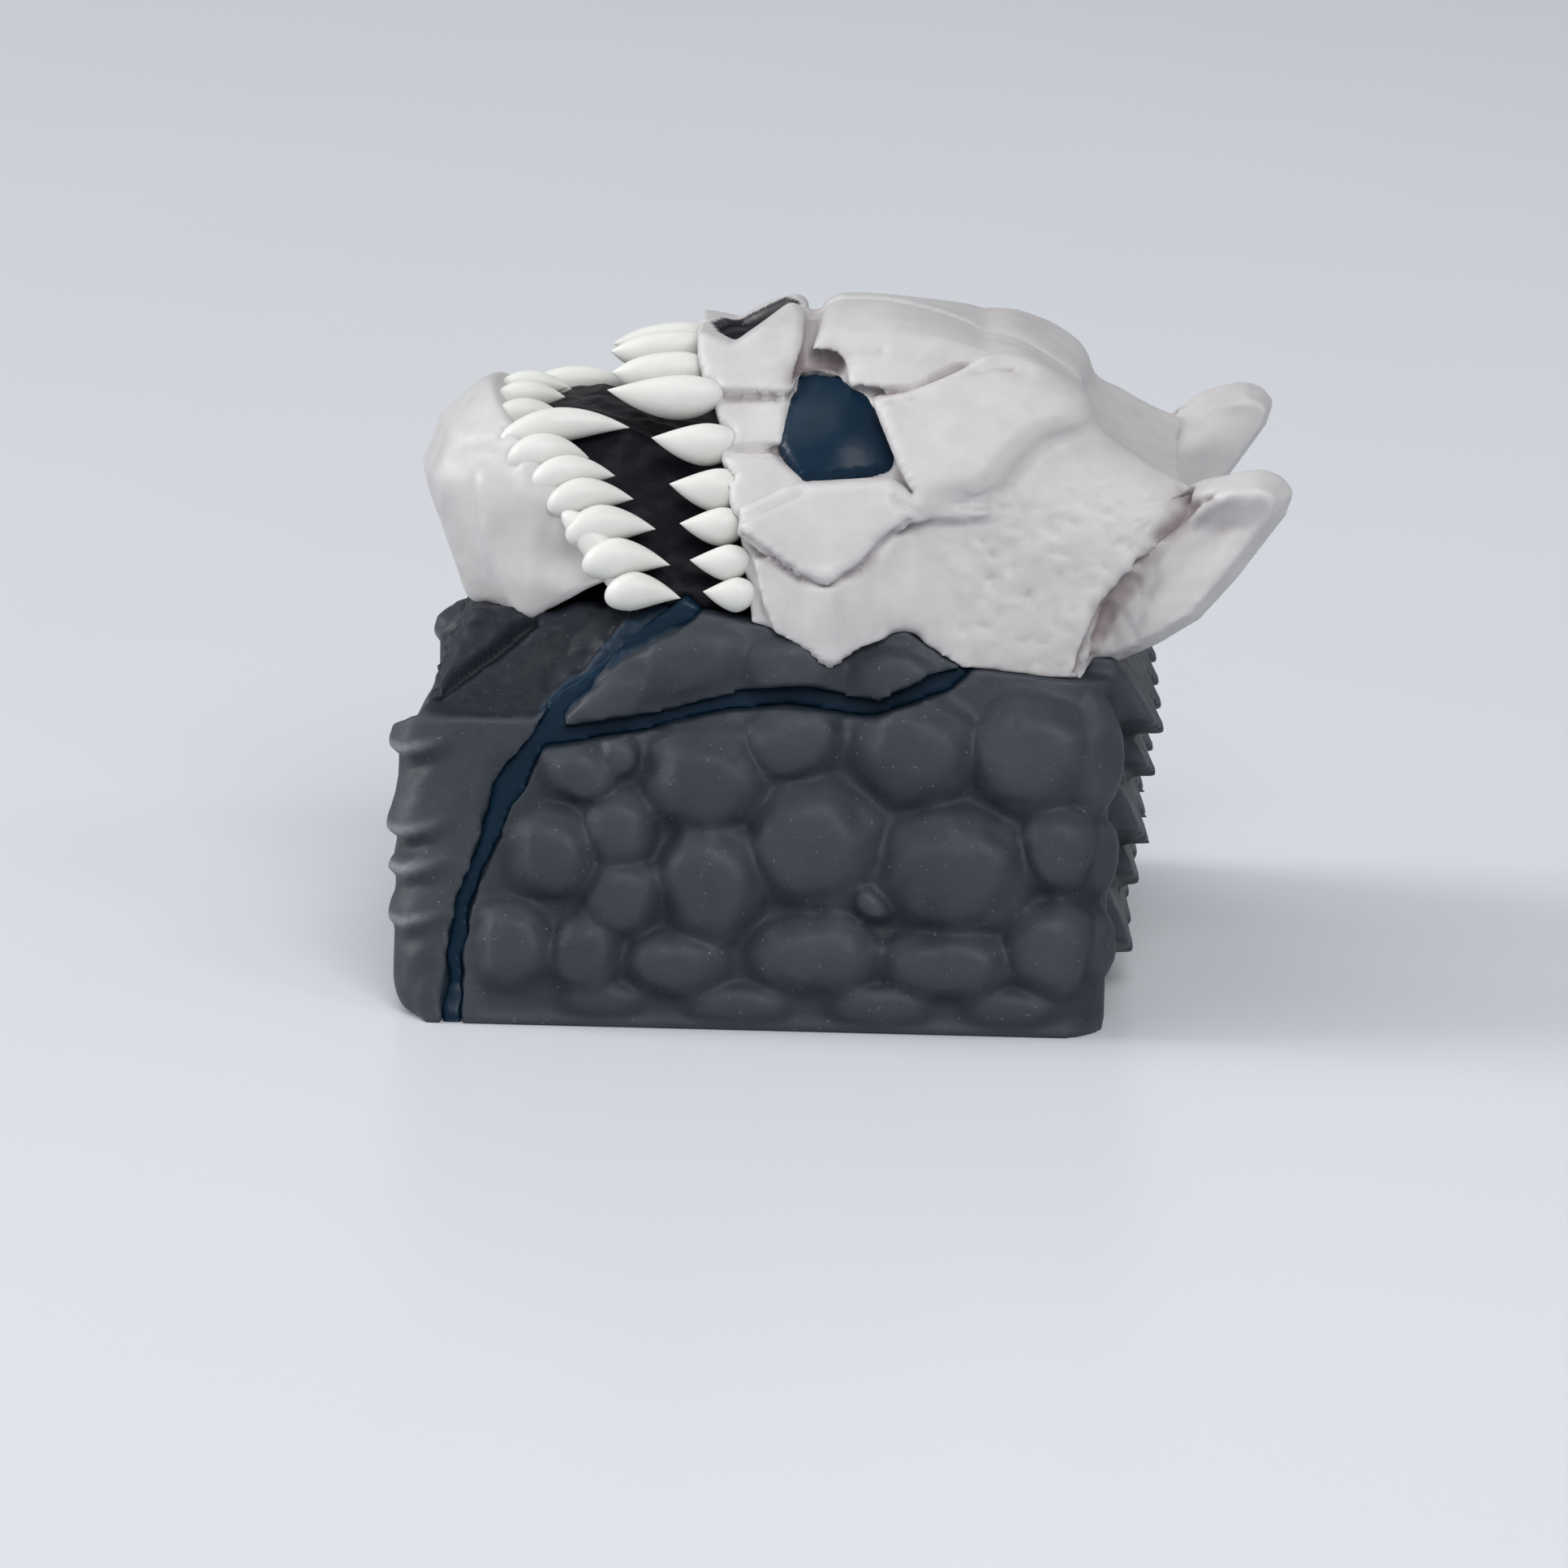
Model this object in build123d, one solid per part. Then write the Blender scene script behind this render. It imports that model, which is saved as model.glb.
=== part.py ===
"""Artisan keycap: a horned beast skull, jaws open to the sky, on a cracked and scaled square base.

Frame: origin on the stem axis at the bottom rim, +Z up, the chin towards -X, the horns towards +X.
"""
from build123d import *
import os
from math import atan2, cos, hypot, pi, radians, sin

# Cap body, millimetres
cap_size = 18.0            # square footprint at the rim
cap_corner = 1.3           # rounding of the upright corners
cap_lean = 2.7             # how far each flank leans in between the rim and the crown
crown_height = 10.2        # rim to the seam at the corner of the mouth
shoulder_height = 7.4      # rim to the top of the front corner blocks
shoulder_bevel = 0.65      # how far the front's top edge is drawn back
corner_block = 1.4         # width of a front corner block at its top
notch_drop = 1.7           # shoulder to the foot of the slanted cut between the corner blocks
rear_height = 8.5          # rim to the top of the rear edge
wall = 1.2                 # wall round the hollow underside
hollow_depth = 5.8         # rim to the ceiling of the hollow
hollow_corner = 0.65       # rounding of the hollow's upright corners

# Stem under the cap
stem_diameter = 5.6
stem_end = 0.6             # rim to the end of the stem
stem_root = 0.3            # part of the stem that is sunk in the ceiling
socket_length = 4.1        # each arm of the cross socket
socket_width = 1.3
socket_depth = 4.2

# Rock between the front corner blocks
rock_foot_length = 7.7
rock_foot_width = 13.2
rock_top_length = 6.4
rock_top_width = 9.0
rock_sunk = 0.6            # crown to the top of the rock

# Relief on the cap body
pebble_rise = 0.36
corner_sunk = 0.1          # depth of the rear corner's pebbles below its rounding
corner_turn = 45.0         # degrees from the flank to the middle of the corner
mound_skirt = 0.3          # part of a pebble or fold that is sunk in its flank
fold_height = 1.5
fold_rise = 0.25
fold_top = 2.4             # shoulder to the middle of the highest fold
fold_pitch = 1.55
fold_count = 3
shingle_reach = 1.5        # rear face to the tips of the highest scutes, were there one row more
shingle_low_reach = 0.75   # rear face to the tips of the lowest scutes
shingle_width = 2.7
shingle_height = 2.32
shingle_point = 0.675      # height of the pointed end of a scute
shingle_edge = 0.125       # thickness of a scute's tip as a share of its reach
shingle_root = 0.6         # part of a scute that is sunk in the rear face
shingle_pitch = 1.45
shingle_rows = 5
shingle_count = 4          # scutes in the rows that have most
shingle_start = 0.9        # rim to the tips of the lowest row
crack_recess = 0.45        # flank surface to the inlay
inlay_thickness = 0.45

# Head
plate_rise = 0.3           # a plain plate above the skull
lip_rise = 0.24            # the plate above the lip
muzzle_rise = 0.18         # the plate between the nose and the lip
brow_rise = 0.5            # the plates that overlap others
seam_gap = 0.15            # middle of the skull to the plates of a side
skull_hem = 1.0            # drop below a cross-section's last point, which sets its lean there
eye_radius = 4.6           # curve of an eye's face
nose_recess = 0.15         # nose rim to its lining
horn_thickness = 2.0
horn_splay = 8.0           # degrees that each horn turns outwards
tooth_bow = 0.5            # how strongly a tooth arches upwards
lining_inset = 0.7         # flank at the crown to the mouth lining
lip_width = 4.8            # mouth lining at the lips

# Side outlines of the cap's top, as (x, height above the shoulder) and (x, height above the crown)
brink_line = [(-5.4, 0.0), (-5.1, 0.4), (-3.6, 1.6)]
seam_line = [(-1.8, 0.2), (-1.4, -0.1), (0.5, -0.45), (1.9, -1.0), (3.7, -0.4), (5.2, -1.3), (8.2, -1.6)]

# Side outlines of the head, as (x, height above the crown)
jaw_line = [(-0.9, -1.4), (-7.9, 5.4)]
snout_line = [(-0.1, -1.4), (-0.1, -0.2), (-0.6, 2.5), (-1.3, 4.9), (-2.3, 7.5)]
nape_line = [(8.2, -1.7), (11.3, 3.6), (11.6, 5.0)]
lining_top = [(-9.0, 3.6), (-4.4, 4.1), (-3.0, 3.7), (0.5, 3.0)]
lips_height = 4.2

# Cross-sections of the skull at x, as (half width, height above the crown) from the crest over the ridge to
# below the seam
skull_sections = [
    (-2.2, [(0, 6.1), (1.5, 5.9), (4.0, 3.3), (6.0, 0.3), (6.3, -2.0)]),
    (0.8, [(0, 6.5), (2.0, 6.1), (4.6, 3.4), (6.2, 0.4), (6.4, -2.0)]),
    (3.2, [(0, 6.5), (2.5, 6.15), (5.0, 3.5), (6.3, 0.4), (6.5, -2.0)]),
    (6.0, [(0, 5.6), (3.3, 5.7), (5.2, 3.5), (6.3, 0.4), (6.5, -2.0)]),
    (8.6, [(0, 4.0), (4.2, 4.4), (5.5, 2.8), (6.2, 0.2), (6.4, -2.0)]),
    (11.8, [(0, 2.0), (4.9, 3.1), (5.6, 1.8), (6.0, 0.0), (6.2, -2.0)]),
]

# Level outlines of the lower jaw at a height above the crown, as (x, half width) from the hinge to the chin
jaw_sections = [
    (-1.4, [(-1.6, 5.2), (-5.8, 4.1), (-7.1, 2.3), (-7.4, 0)]),
    (0.2, [(-1.6, 6.0), (-5.7, 4.7), (-7.6, 2.5), (-7.9, 0)]),
    (2.4, [(-1.6, 5.7), (-5.7, 4.6), (-8.3, 2.3), (-8.8, 0)]),
    (3.6, [(-1.6, 4.8), (-6.2, 3.7), (-8.1, 1.9), (-8.5, 0)]),
    (4.6, [(-1.6, 4.0), (-6.1, 2.8), (-7.0, 1.5), (-7.4, 0)]),
]

# Plates of the near side, as rise and outline
skull_plates = [
    (plate_rise, [(-1.6, 4.9), (-1.7, 6.2), (-0.8, 5.95), (0.6, 6.85), (0.9, 6.6), (0.9, 5.3), (0.6, 5.0)]),
    (muzzle_rise, [(-1.3, 4.8), (0.6, 4.9), (0.55, 3.8), (-0.8, 3.7)]),
    (lip_rise, [(-1.0, 3.6), (0.1, 3.7), (1.1, 3.1), (0.8, 2.8), (-0.4, 2.2), (-0.9, 2.4)]),
    (plate_rise, [(1.2, 6.0), (1.8, 7.6), (6.5, 7.6), (6.3, 5.8), (4.9, 5.8), (3.8, 5.25), (2.3, 5.25),
                  (1.8, 5.9)]),
    (brow_rise, [(2.9, 5.0), (3.8, 5.2), (6.0, 6.1), (7.4, 6.1), (8.5, 4.7), (7.0, 4.4), (6.3, 3.7),
                 (5.7, 3.0), (4.1, 2.8), (3.6, 3.6)]),
    (brow_rise, [(-0.4, 1.9), (-0.3, 2.3), (1.1, 3.0), (3.3, 3.2), (3.8, 2.9), (4.8, 2.6), (5.9, 2.75),
                 (5.9, 2.5), (3.8, 2.4), (2.5, 1.2), (1.8, 0.9), (1.1, 1.0)]),
    (plate_rise, [(-0.1, 1.3), (0.2, 0.2), (0.5, -0.5), (1.9, -1.1), (3.7, -0.4), (3.3, 1.8), (1.8, 1.2)]),
]
eye_outline = [(1.0, 5.3), (1.8, 5.4), (2.4, 5.05), (3.0, 4.5), (3.4, 3.9), (3.3, 3.35), (1.2, 3.1),
               (0.65, 3.75)]
eye_middle = (2.0, 4.2, 4.25)     # x, half width, height above the crown
eye_tilt = 48.0                   # degrees that an eye looks up
horn_outline = [(8.2, -1.6), (9.0, -1.55), (10.15, -0.85), (11.2, -0.05), (12.1, 1.05), (13.25, 2.7),
                (13.45, 3.35), (13.1, 3.75), (12.6, 3.9), (11.3, 3.65), (8.6, 1.8)]
horn_middle = 5.5                 # half width at the middle of a horn's root
horn_taper = 20.0                 # degrees that a horn's edges lean
nose_outline = [(-1.45, 0), (-1.2, 1.1), (-0.7, 1.6), (0.0, 1.1), (0.75, 0.2)]
nose_floor = 5.0                  # crown to the floor of the nose

# Cracks of the near flank: the long one as (x, height above the shoulder), the others above the crown
long_crack = [(-7.7, -9.0), (-7.55, -5.2), (-7.0, -3.6), (-6.6, -2.3), (-6.55, -1.6), (-6.15, -1.1),
              (-5.4, -0.1), (-5.1, 0.3), (-4.9, -0.2), (-5.2, -0.7), (-6.05, -2.2), (-6.75, -4.1),
              (-7.1, -4.9), (-7.2, -9.0)]
side_crack = [(-5.2, -3.5), (-5.0, -3.0), (-1.7, -2.4), (-0.4, -1.95), (1.4, -1.85), (3.1, -2.15),
              (4.4, -1.5), (5.5, -1.2), (5.4, -1.55), (4.8, -1.95), (2.9, -2.6), (0.9, -2.35),
              (-0.6, -2.5), (-3.0, -3.1)]
mouth_crack = [(-5.1, -3.1), (-5.15, -2.4), (-3.6, -1.1), (-2.7, -0.45), (-1.8, 0.4), (-1.4, -0.1),
               (-1.8, -0.5), (-2.6, -0.95), (-4.0, -1.9), (-4.8, -3.0)]

# Pebble scales of the near flank, as (x, height, half length, half height, turn in degrees)
pebbles = [
    (-4.2, 6.2, 0.95, 0.75, 15), (-3.3, 6.6, 0.5, 0.5, 0), (-1.1, 6.1, 1.6, 1.3, -10),
    (1.0, 7.0, 1.25, 0.95, -15), (4.1, 6.9, 1.5, 1.3, 0), (7.0, 6.9, 1.5, 1.4, -20),
    (-4.9, 4.2, 1.05, 1.1, 0), (-3.2, 4.8, 0.9, 0.95, 0), (-3.2, 3.2, 0.95, 0.95, 0),
    (-0.9, 3.6, 1.25, 1.5, 10), (1.6, 4.6, 1.6, 1.55, 0), (5.1, 4.0, 1.9, 1.45, 0),
    (7.8, 4.6, 0.95, 1.05, 0), (3.1, 3.2, 0.62, 0.4, 35), (-6.0, 2.0, 1.15, 0.95, 0),
    (-4.2, 1.8, 0.9, 0.85, 0), (-1.8, 1.7, 1.2, 0.75, 0), (1.8, 2.0, 1.55, 0.95, 0),
    (5.0, 1.8, 1.5, 0.85, 0), (7.5, 2.3, 1.1, 1.15, 0),
]
corner_pebbles = [(6.8, 1.0, 1.5), (4.3, 0.8, 1.0), (2.1, 0.7, 0.8)]
mound_sides = 8
mound_tiers = [(-1.0, 1.12), (0.6, 0.9), (1.0, 0.55)]      # share of skirt or rise, share of size

# Teeth of the near side, as root and tip (x, half width, height above the crown) and radius
upper_tooth_list = [
    ((-1.6, 0.55, 5.6), (-4.0, 0.5, 5.35), 0.5),
    ((-1.5, 1.7, 5.45), (-3.8, 1.65, 5.2), 0.5),
    ((-1.1, 2.95, 4.9), (-4.0, 2.8, 4.9), 0.58),
    ((-0.65, 3.75, 3.8), (-2.8, 3.9, 3.9), 0.55),
    ((-0.4, 4.45, 2.75), (-2.3, 4.55, 2.85), 0.57),
    ((-0.4, 5.0, 1.95), (-2.0, 5.1, 1.95), 0.5),
    ((-0.25, 5.6, 1.15), (-1.7, 5.75, 1.15), 0.46),
    ((-0.1, 6.0, 0.4), (-1.35, 6.0, 0.4), 0.44),
]
lower_tooth_list = [
    ((-7.1, 0.75, 4.0), (-5.2, 0.7, 4.3), 0.42),
    ((-7.0, 1.9, 3.75), (-5.2, 1.8, 4.05), 0.42),
    ((-6.7, 3.0, 3.5), (-3.4, 2.9, 3.95), 0.48),
    ((-6.3, 3.6, 3.2), (-4.4, 3.45, 3.3), 0.48),
    ((-5.6, 4.15, 2.8), (-3.7, 3.95, 3.0), 0.42),
    ((-5.1, 4.65, 2.3), (-3.2, 4.4, 2.5), 0.45),
    ((-4.5, 5.05, 1.6), (-2.7, 4.9, 1.85), 0.54),
    ((-3.8, 5.45, 0.85), (-2.25, 5.5, 1.0), 0.52),
    ((-3.1, 5.85, 0.15), (-1.95, 5.95, 0.25), 0.5),
]
tooth_sides = 6
tooth_tiers = [(0.0, 0.55), (0.3, 1.0), (0.72, 0.62)]     # share of length, share of radius

flank_slope = cap_lean / crown_height
flank_tilt = atan2(cap_lean, crown_height)
far_out = 4 * cap_size
below_head = 2 * jaw_line[0][1]
above_head = snout_line[-1][1]
near_enough = 0.01
upright_share = 0.7        # least rise of an edge that counts as upright, as a share of its length


def half_width(height):
    """Half of the cap body's width between its flanks at a height."""
    return cap_size / 2 - flank_slope * height


def above(level, points):
    """Side-view points measured from the rim instead of from a level."""
    return [(x, level + rise) for x, rise in points]


def side_prism(points, near=-far_out, far=far_out):
    """Side-view outline (x, z) carried across the part from y = near to y = far."""
    face = make_face(Polyline(*points, close=True))
    return Pos(0, far, 0) * extrude(Plane.XZ * face, far - near)


def both_sides(shapes):
    """Shapes of the near side together with their mirror images on the far side."""
    return [*shapes, *[mirror(shape, Plane.XZ) for shape in shapes]]


def joined(shapes):
    """One shape from a list of shapes."""
    return shapes[0].fuse(*shapes[1:])


def oval_ring(place, length, height, sides):
    """Corners of an even-sided oval with the given half length and half height, in the plane of a place."""
    turns = [2 * pi * step / sides for step in range(sides)]
    return [place.from_local_coords((length * cos(turn), height * sin(turn), 0)) for turn in turns]


def faceted(rings, point=None):
    """Solid of flat faces from the first ring to the last, and on to a point where there is one."""
    outlines = [rings[0]]
    for lower, upper in zip(rings, rings[1:]):
        for step in range(len(lower)):
            outlines.append([lower[step - 1], lower[step], upper[step], upper[step - 1]])
    last = rings[-1]
    if point is None:
        outlines.append(last)
    else:
        outlines += [[last[step - 1], last[step], point] for step in range(len(last))]
    return Solid(Shell([make_face(Polyline(*outline, close=True)) for outline in outlines]))


def flank_block(inset, bottom=0.0):
    """Long block between the two leaning flanks, drawn in by an inset."""
    top = 2 * crown_height
    foot = half_width(bottom) - inset
    head = half_width(top) - inset
    outline = Polyline((-foot, bottom), (foot, bottom), (head, top), (-head, top), close=True)
    return extrude(Plane.YZ * make_face(outline), far_out, both=True)


def plain_body():
    """Cap body without its relief: leaning flanks, rounded corners and the top that the head sits on."""
    front = -cap_size / 2
    rear = cap_size / 2
    bevel_foot = shoulder_height - shoulder_bevel
    outline = [(front, 0), (front, bevel_foot), (front + shoulder_bevel, shoulder_height)]
    outline += above(shoulder_height, brink_line) + above(crown_height, seam_line)
    outline += [(rear, rear_height), (rear, 0)]
    body = flank_block(0) & side_prism(outline)
    uprights = [edge for edge in body.edges()
                if abs(abs(edge.center().X) - cap_size / 2) < near_enough
                and abs(edge.center().Y) > half_width(crown_height)]
    return fillet(uprights, cap_corner)


def front_notch():
    """Slanted cut between the front corner blocks, down to the highest fold."""
    front = -cap_size / 2
    foot = shoulder_height - notch_drop
    side = half_width(shoulder_height) - corner_block
    outline = [(front, foot), (front + shoulder_bevel, shoulder_height), (front - wall, shoulder_height)]
    return side_prism([*outline, (front - wall, foot)], -side, side)


def rock():
    """Broken rock that rises between the front corner blocks to carry the lower jaw."""
    back = jaw_line[0][0]
    foot = Pos(back - rock_foot_length / 2, 0, shoulder_height - rock_sunk)
    top = Pos(back - rock_top_length / 2, 0, crown_height - rock_sunk)
    lower = foot * Rectangle(rock_foot_length, rock_foot_width)
    upper = top * Rectangle(rock_top_length, rock_top_width)
    return loft([lower, upper])


def mound(place, length, height, rise):
    """Low oval rise standing on a place, with a skirt below it."""
    rings = []
    for share, size in mound_tiers:
        depth = share * (rise if share > 0 else mound_skirt)
        rings.append(oval_ring(place.offset(depth), size * length, size * height, mound_sides))
    return faceted(rings)


def flank_pebbles():
    """Scales that stand square to the near flank."""
    square_out = (0, -cos(flank_tilt), sin(flank_tilt))
    mounds = []
    for x, z, length, height, turn in pebbles:
        place = Plane((x, -half_width(z), z), (1, 0, 0), square_out).rotated((0, 0, -turn))
        mounds.append(mound(place, length, height, pebble_rise))
    return mounds


def rear_corner_pebbles():
    """Scales that wrap the near rear corner."""
    slant = cos(radians(corner_turn))
    aside = cap_corner * (1 - slant) + corner_sunk
    square_out = (slant, -slant, sin(flank_tilt) * slant)
    along = (slant, slant, 0)
    mounds = []
    for z, length, height in corner_pebbles:
        place = Plane((cap_size / 2 - aside, aside - half_width(z), z), along, square_out)
        mounds.append(mound(place, length, height, pebble_rise))
    return mounds


def front_folds():
    """Soft folds of hide across the front, each fading out towards the corners."""
    folds = []
    for step in range(fold_count):
        z = shoulder_height - fold_top - fold_pitch * step
        place = Plane((-cap_size / 2, 0, z), (0, 1, 0), (-1, 0, 0))
        folds.append(mound(place, half_width(z) - cap_corner, fold_height / 2, fold_rise))
    return folds


def rear_shingle(y, tip, reach):
    """One pointed scute that overlaps the row below it."""
    face = cap_size / 2
    back = face - shingle_root
    top = tip + shingle_height
    bend = tip + shingle_point
    half = shingle_width / 2
    edge = (face + reach, tip + shingle_edge * reach)
    wedge = [(back, top), (face, top), edge, (face + reach, tip), (back, tip)]
    sides = [(y - half, top), (y + half, top), (y + half, bend), (y, tip), (y - half, bend)]
    shield = Polyline(*sides, close=True)
    return side_prism(wedge, y - half, y + half) & extrude(Plane.YZ * make_face(shield), far_out)


def rear_shingles():
    """Staggered rows of scutes down the rear, shorter towards the rim."""
    scutes = []
    for row in range(shingle_rows):
        tip = shingle_start + row * shingle_pitch
        reach = shingle_low_reach + (shingle_reach - shingle_low_reach) * row / shingle_rows
        count = shingle_count - row % 2
        for step in range(count):
            scutes.append(rear_shingle((step - (count - 1) / 2) * shingle_width, tip, reach))
    return scutes


def hollow():
    """Space under the cap that takes the top of the switch."""
    reach = cap_size / 2 - wall
    below = -wall
    middle = Pos(0, 0, (hollow_depth + below) / 2)
    space = flank_block(wall, below) & middle * Box(2 * reach, far_out, hollow_depth - below)
    uprights = [edge for edge in space.edges() if abs(edge.tangent_at(0.5).Z) > upright_share]
    return fillet(uprights, hollow_corner)


def stem():
    """Round stem that reaches into the ceiling of the hollow."""
    length = hollow_depth - stem_end + stem_root
    return Pos(0, 0, stem_end + length / 2) * Cylinder(stem_diameter / 2, length)


def cross_socket():
    """Cross-shaped socket in the end of the stem."""
    below = socket_depth + stem_end
    arm = Pos(0, 0, stem_end + socket_depth - below) * Box(socket_length, socket_width, 2 * below)
    return [arm, Rot(0, 0, 90) * arm]


def crack_channels():
    """Channels of the cracks on both flanks, down to the back of the inlay."""
    outlines = [above(shoulder_height, long_crack), above(crown_height, side_crack)]
    outlines.append(above(crown_height, mouth_crack))
    network = joined([side_prism(outline, far=0) for outline in outlines])
    return both_sides([network - flank_block(crack_recess + inlay_thickness, -crown_height)])


def skull_hull(rise):
    """Skull lofted through its cross-sections, swollen by a rise, with an edge at each ridge."""
    faces = []
    for x, points in skull_sections:
        before = [(-points[1][0], points[1][1]), *points[:-1]]
        after = [*points[1:], (points[-1][0], points[-1][1] - skull_hem)]
        half = []
        for (y, z), (y0, z0), (y1, z1) in zip(points, before, after):
            length = hypot(y1 - y0, z1 - z0)
            half.append((y - rise * (z1 - z0) / length, z + rise * (y1 - y0) / length))
        other = [(-y, z) for y, z in half]
        crest = Spline(other[1], half[0], half[1])
        sides = [Spline(*half[1:]), Spline(*other[1:])]
        section = Plane((x, 0, crown_height), (0, 1, 0), (1, 0, 0))
        faces.append(section * make_face([crest, *sides, Line(half[-1], other[-1])]))
    return loft(faces)


def plates():
    """Overlapping plates of both sides of the skull."""
    swollen = {rise: skull_hull(rise) for rise, _ in skull_plates}
    return both_sides([swollen[rise] & side_prism(above(crown_height, outline), far=-seam_gap)
                       for rise, outline in skull_plates])


def snout_front():
    """Everything in front of the upper jaw."""
    corners = [(-far_out, above_head), (-far_out, below_head), (snout_line[0][0], below_head)]
    return side_prism(above(crown_height, [*corners, *snout_line]))


def nape_back():
    """Everything behind the back of the skull."""
    corners = [(far_out, nape_line[-1][1]), (far_out, below_head), (nape_line[0][0], below_head)]
    return side_prism(above(crown_height, [*nape_line, *corners]))


def horns():
    """Two flat swept horns behind the temples."""
    blade = make_face(Polyline(*above(crown_height, horn_outline), close=True))
    outer = extrude(Plane.XZ * blade, horn_thickness / 2, taper=horn_taper)
    inner = extrude(Plane.XZ * blade, -horn_thickness / 2, taper=horn_taper)
    root = horn_outline[0][0]
    turn = Pos(root, -horn_middle, 0) * Rot(0, 0, -horn_splay) * Pos(-root, 0, 0)
    return both_sides([turn * (outer + inner)])


def eye_shafts():
    """Straight shafts of the two eye sockets."""
    return both_sides([side_prism(above(crown_height, eye_outline), far=-eye_middle[1] / 2)])


def eye_balls():
    """Balls whose faces show in the sockets."""
    x, y, z = eye_middle
    back = eye_radius * cos(radians(eye_tilt))
    drop = eye_radius * sin(radians(eye_tilt))
    return both_sides([Pos(x, back - y, crown_height + z - drop) * Sphere(eye_radius)])


def nose_pit():
    """Opening at the top of the snout."""
    outline = nose_outline + [(x, -y) for x, y in reversed(nose_outline[1:])]
    face = make_face(Polyline(*outline, close=True))
    return Pos(0, 0, crown_height + nose_floor) * extrude(face, above_head)


def tooth(root, tip, radius):
    """Arched tooth from its rounded root to its point."""
    start = Vector(root[0], -root[1], crown_height + root[2])
    end = Vector(tip[0], -tip[1], crown_height + tip[2])
    along = end - start
    rings = []
    for share, size in tooth_tiers:
        arch = Vector(0, 0, tooth_bow * radius * share * (1 - share) * 4)
        place = Plane(start + along * share + arch, z_dir=along)
        rings.append(oval_ring(place, size * radius, size * radius, tooth_sides))
    return faceted(rings, end)


def tooth_row(row):
    """Teeth of one jaw, both sides."""
    return joined(both_sides([tooth(*entry) for entry in row]))


def jaw_form():
    """Lower jaw lofted through its level outlines."""
    faces = []
    for height, points in jaw_sections:
        outline = points + [(x, -y) for x, y in reversed(points[:-1])]
        faces.append(Plane.XY.offset(crown_height + height) * make_face(Polyline(*outline, close=True)))
    return loft(faces, ruled=True)


def mouth_gap():
    """Wedge of space between the jaws."""
    outline = [jaw_line[0], *snout_line, (jaw_line[1][0], above_head), jaw_line[1]]
    return side_prism(above(crown_height, outline))


def lining_form():
    """Dark filling of the mouth, narrower towards the lips."""
    foot = half_width(crown_height) - lining_inset
    lip = lip_width / 2
    low = crown_height + below_head
    high = crown_height + lips_height
    across = Polyline((-foot, low), (foot, low), (foot, crown_height), (lip, high), (-lip, high),
                      (-foot, crown_height), close=True)
    beneath = [(lining_top[-1][0], below_head), (lining_top[0][0], below_head)]
    column = extrude(Plane.YZ * make_face(across), far_out, both=True)
    return column & side_prism(above(crown_height, lining_top + beneath))


os.makedirs("parts", exist_ok=True)

relief = both_sides(flank_pebbles() + rear_corner_pebbles()) + front_folds() + rear_shingles()
body = joined([plain_body() - front_notch(), rock(), *relief]) - hollow()
body = body + stem() - cross_socket()
channels = crack_channels()
base = body - channels
crack_inlay = [channel & flank_block(crack_recess) & body for channel in channels]

upper_teeth = tooth_row(upper_tooth_list)
lower_teeth = tooth_row(lower_tooth_list)
all_teeth = [upper_teeth, lower_teeth]

nose = nose_pit()
skull = joined([skull_hull(0), *plates()]) - snout_front() - nape_back()
skull = joined([skull, *horns()]) - eye_shafts() - nose - body - all_teeth
eyes = [shaft & ball for shaft, ball in zip(eye_shafts(), eye_balls())]

gap = mouth_gap()
lower_jaw = jaw_form() - gap - body - all_teeth
mouth_fill = (lining_form() & gap) - body - all_teeth
nose_fill = nose & skull_hull(-nose_recess)

nodes = {
    "base": base,
    "crack_inlay": Compound(crack_inlay),
    "skull": skull,
    "lower_jaw": lower_jaw,
    "eyes": Compound(eyes),
    "upper_teeth": upper_teeth,
    "lower_teeth": lower_teeth,
    "mouth_lining": Compound([mouth_fill, nose_fill]),
}
for name, shape in nodes.items():
    export_step(shape, f"parts/{name}.step")
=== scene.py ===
"""Artisan keycap: the cast skull, its teeth and its scaled base, dressed for the camera."""
from math import atan, cos, radians, sin

import bpy
import numpy as np
from mathutils import Matrix, Vector, noise
from mathutils.kdtree import KDTree


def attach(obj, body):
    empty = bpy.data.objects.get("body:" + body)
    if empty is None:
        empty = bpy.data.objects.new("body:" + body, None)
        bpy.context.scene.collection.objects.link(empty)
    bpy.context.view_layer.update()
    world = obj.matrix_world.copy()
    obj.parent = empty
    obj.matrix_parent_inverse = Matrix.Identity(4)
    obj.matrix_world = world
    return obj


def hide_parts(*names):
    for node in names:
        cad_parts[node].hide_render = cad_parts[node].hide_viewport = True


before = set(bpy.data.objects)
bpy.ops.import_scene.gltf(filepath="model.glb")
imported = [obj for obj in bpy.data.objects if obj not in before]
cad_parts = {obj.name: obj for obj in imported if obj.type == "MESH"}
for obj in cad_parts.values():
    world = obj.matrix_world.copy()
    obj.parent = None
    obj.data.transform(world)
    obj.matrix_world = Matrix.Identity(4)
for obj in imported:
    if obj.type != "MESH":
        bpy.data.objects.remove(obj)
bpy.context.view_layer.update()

# Everything below is in millimetres until a piece is brought down to metres when it is handed over.
# A pair for a fade gives the place where it is 0 and the place where it is 1.
MM = 0.001

# The photograph's camera
PHOTO_PIXELS = 1932
FOCAL_PIXELS = 7721
SENSOR_MM = 36
CAMERA_AZIMUTH = 1.76
CAMERA_ELEVATION = 14.0
CAMERA_ROLL = 0.95
CAMERA_DISTANCE = 164.8
CAMERA_AIM = (0.59, 0.0, 4.17)
CAMERA_NEAR = 10
CAMERA_FAR = 10000

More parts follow.
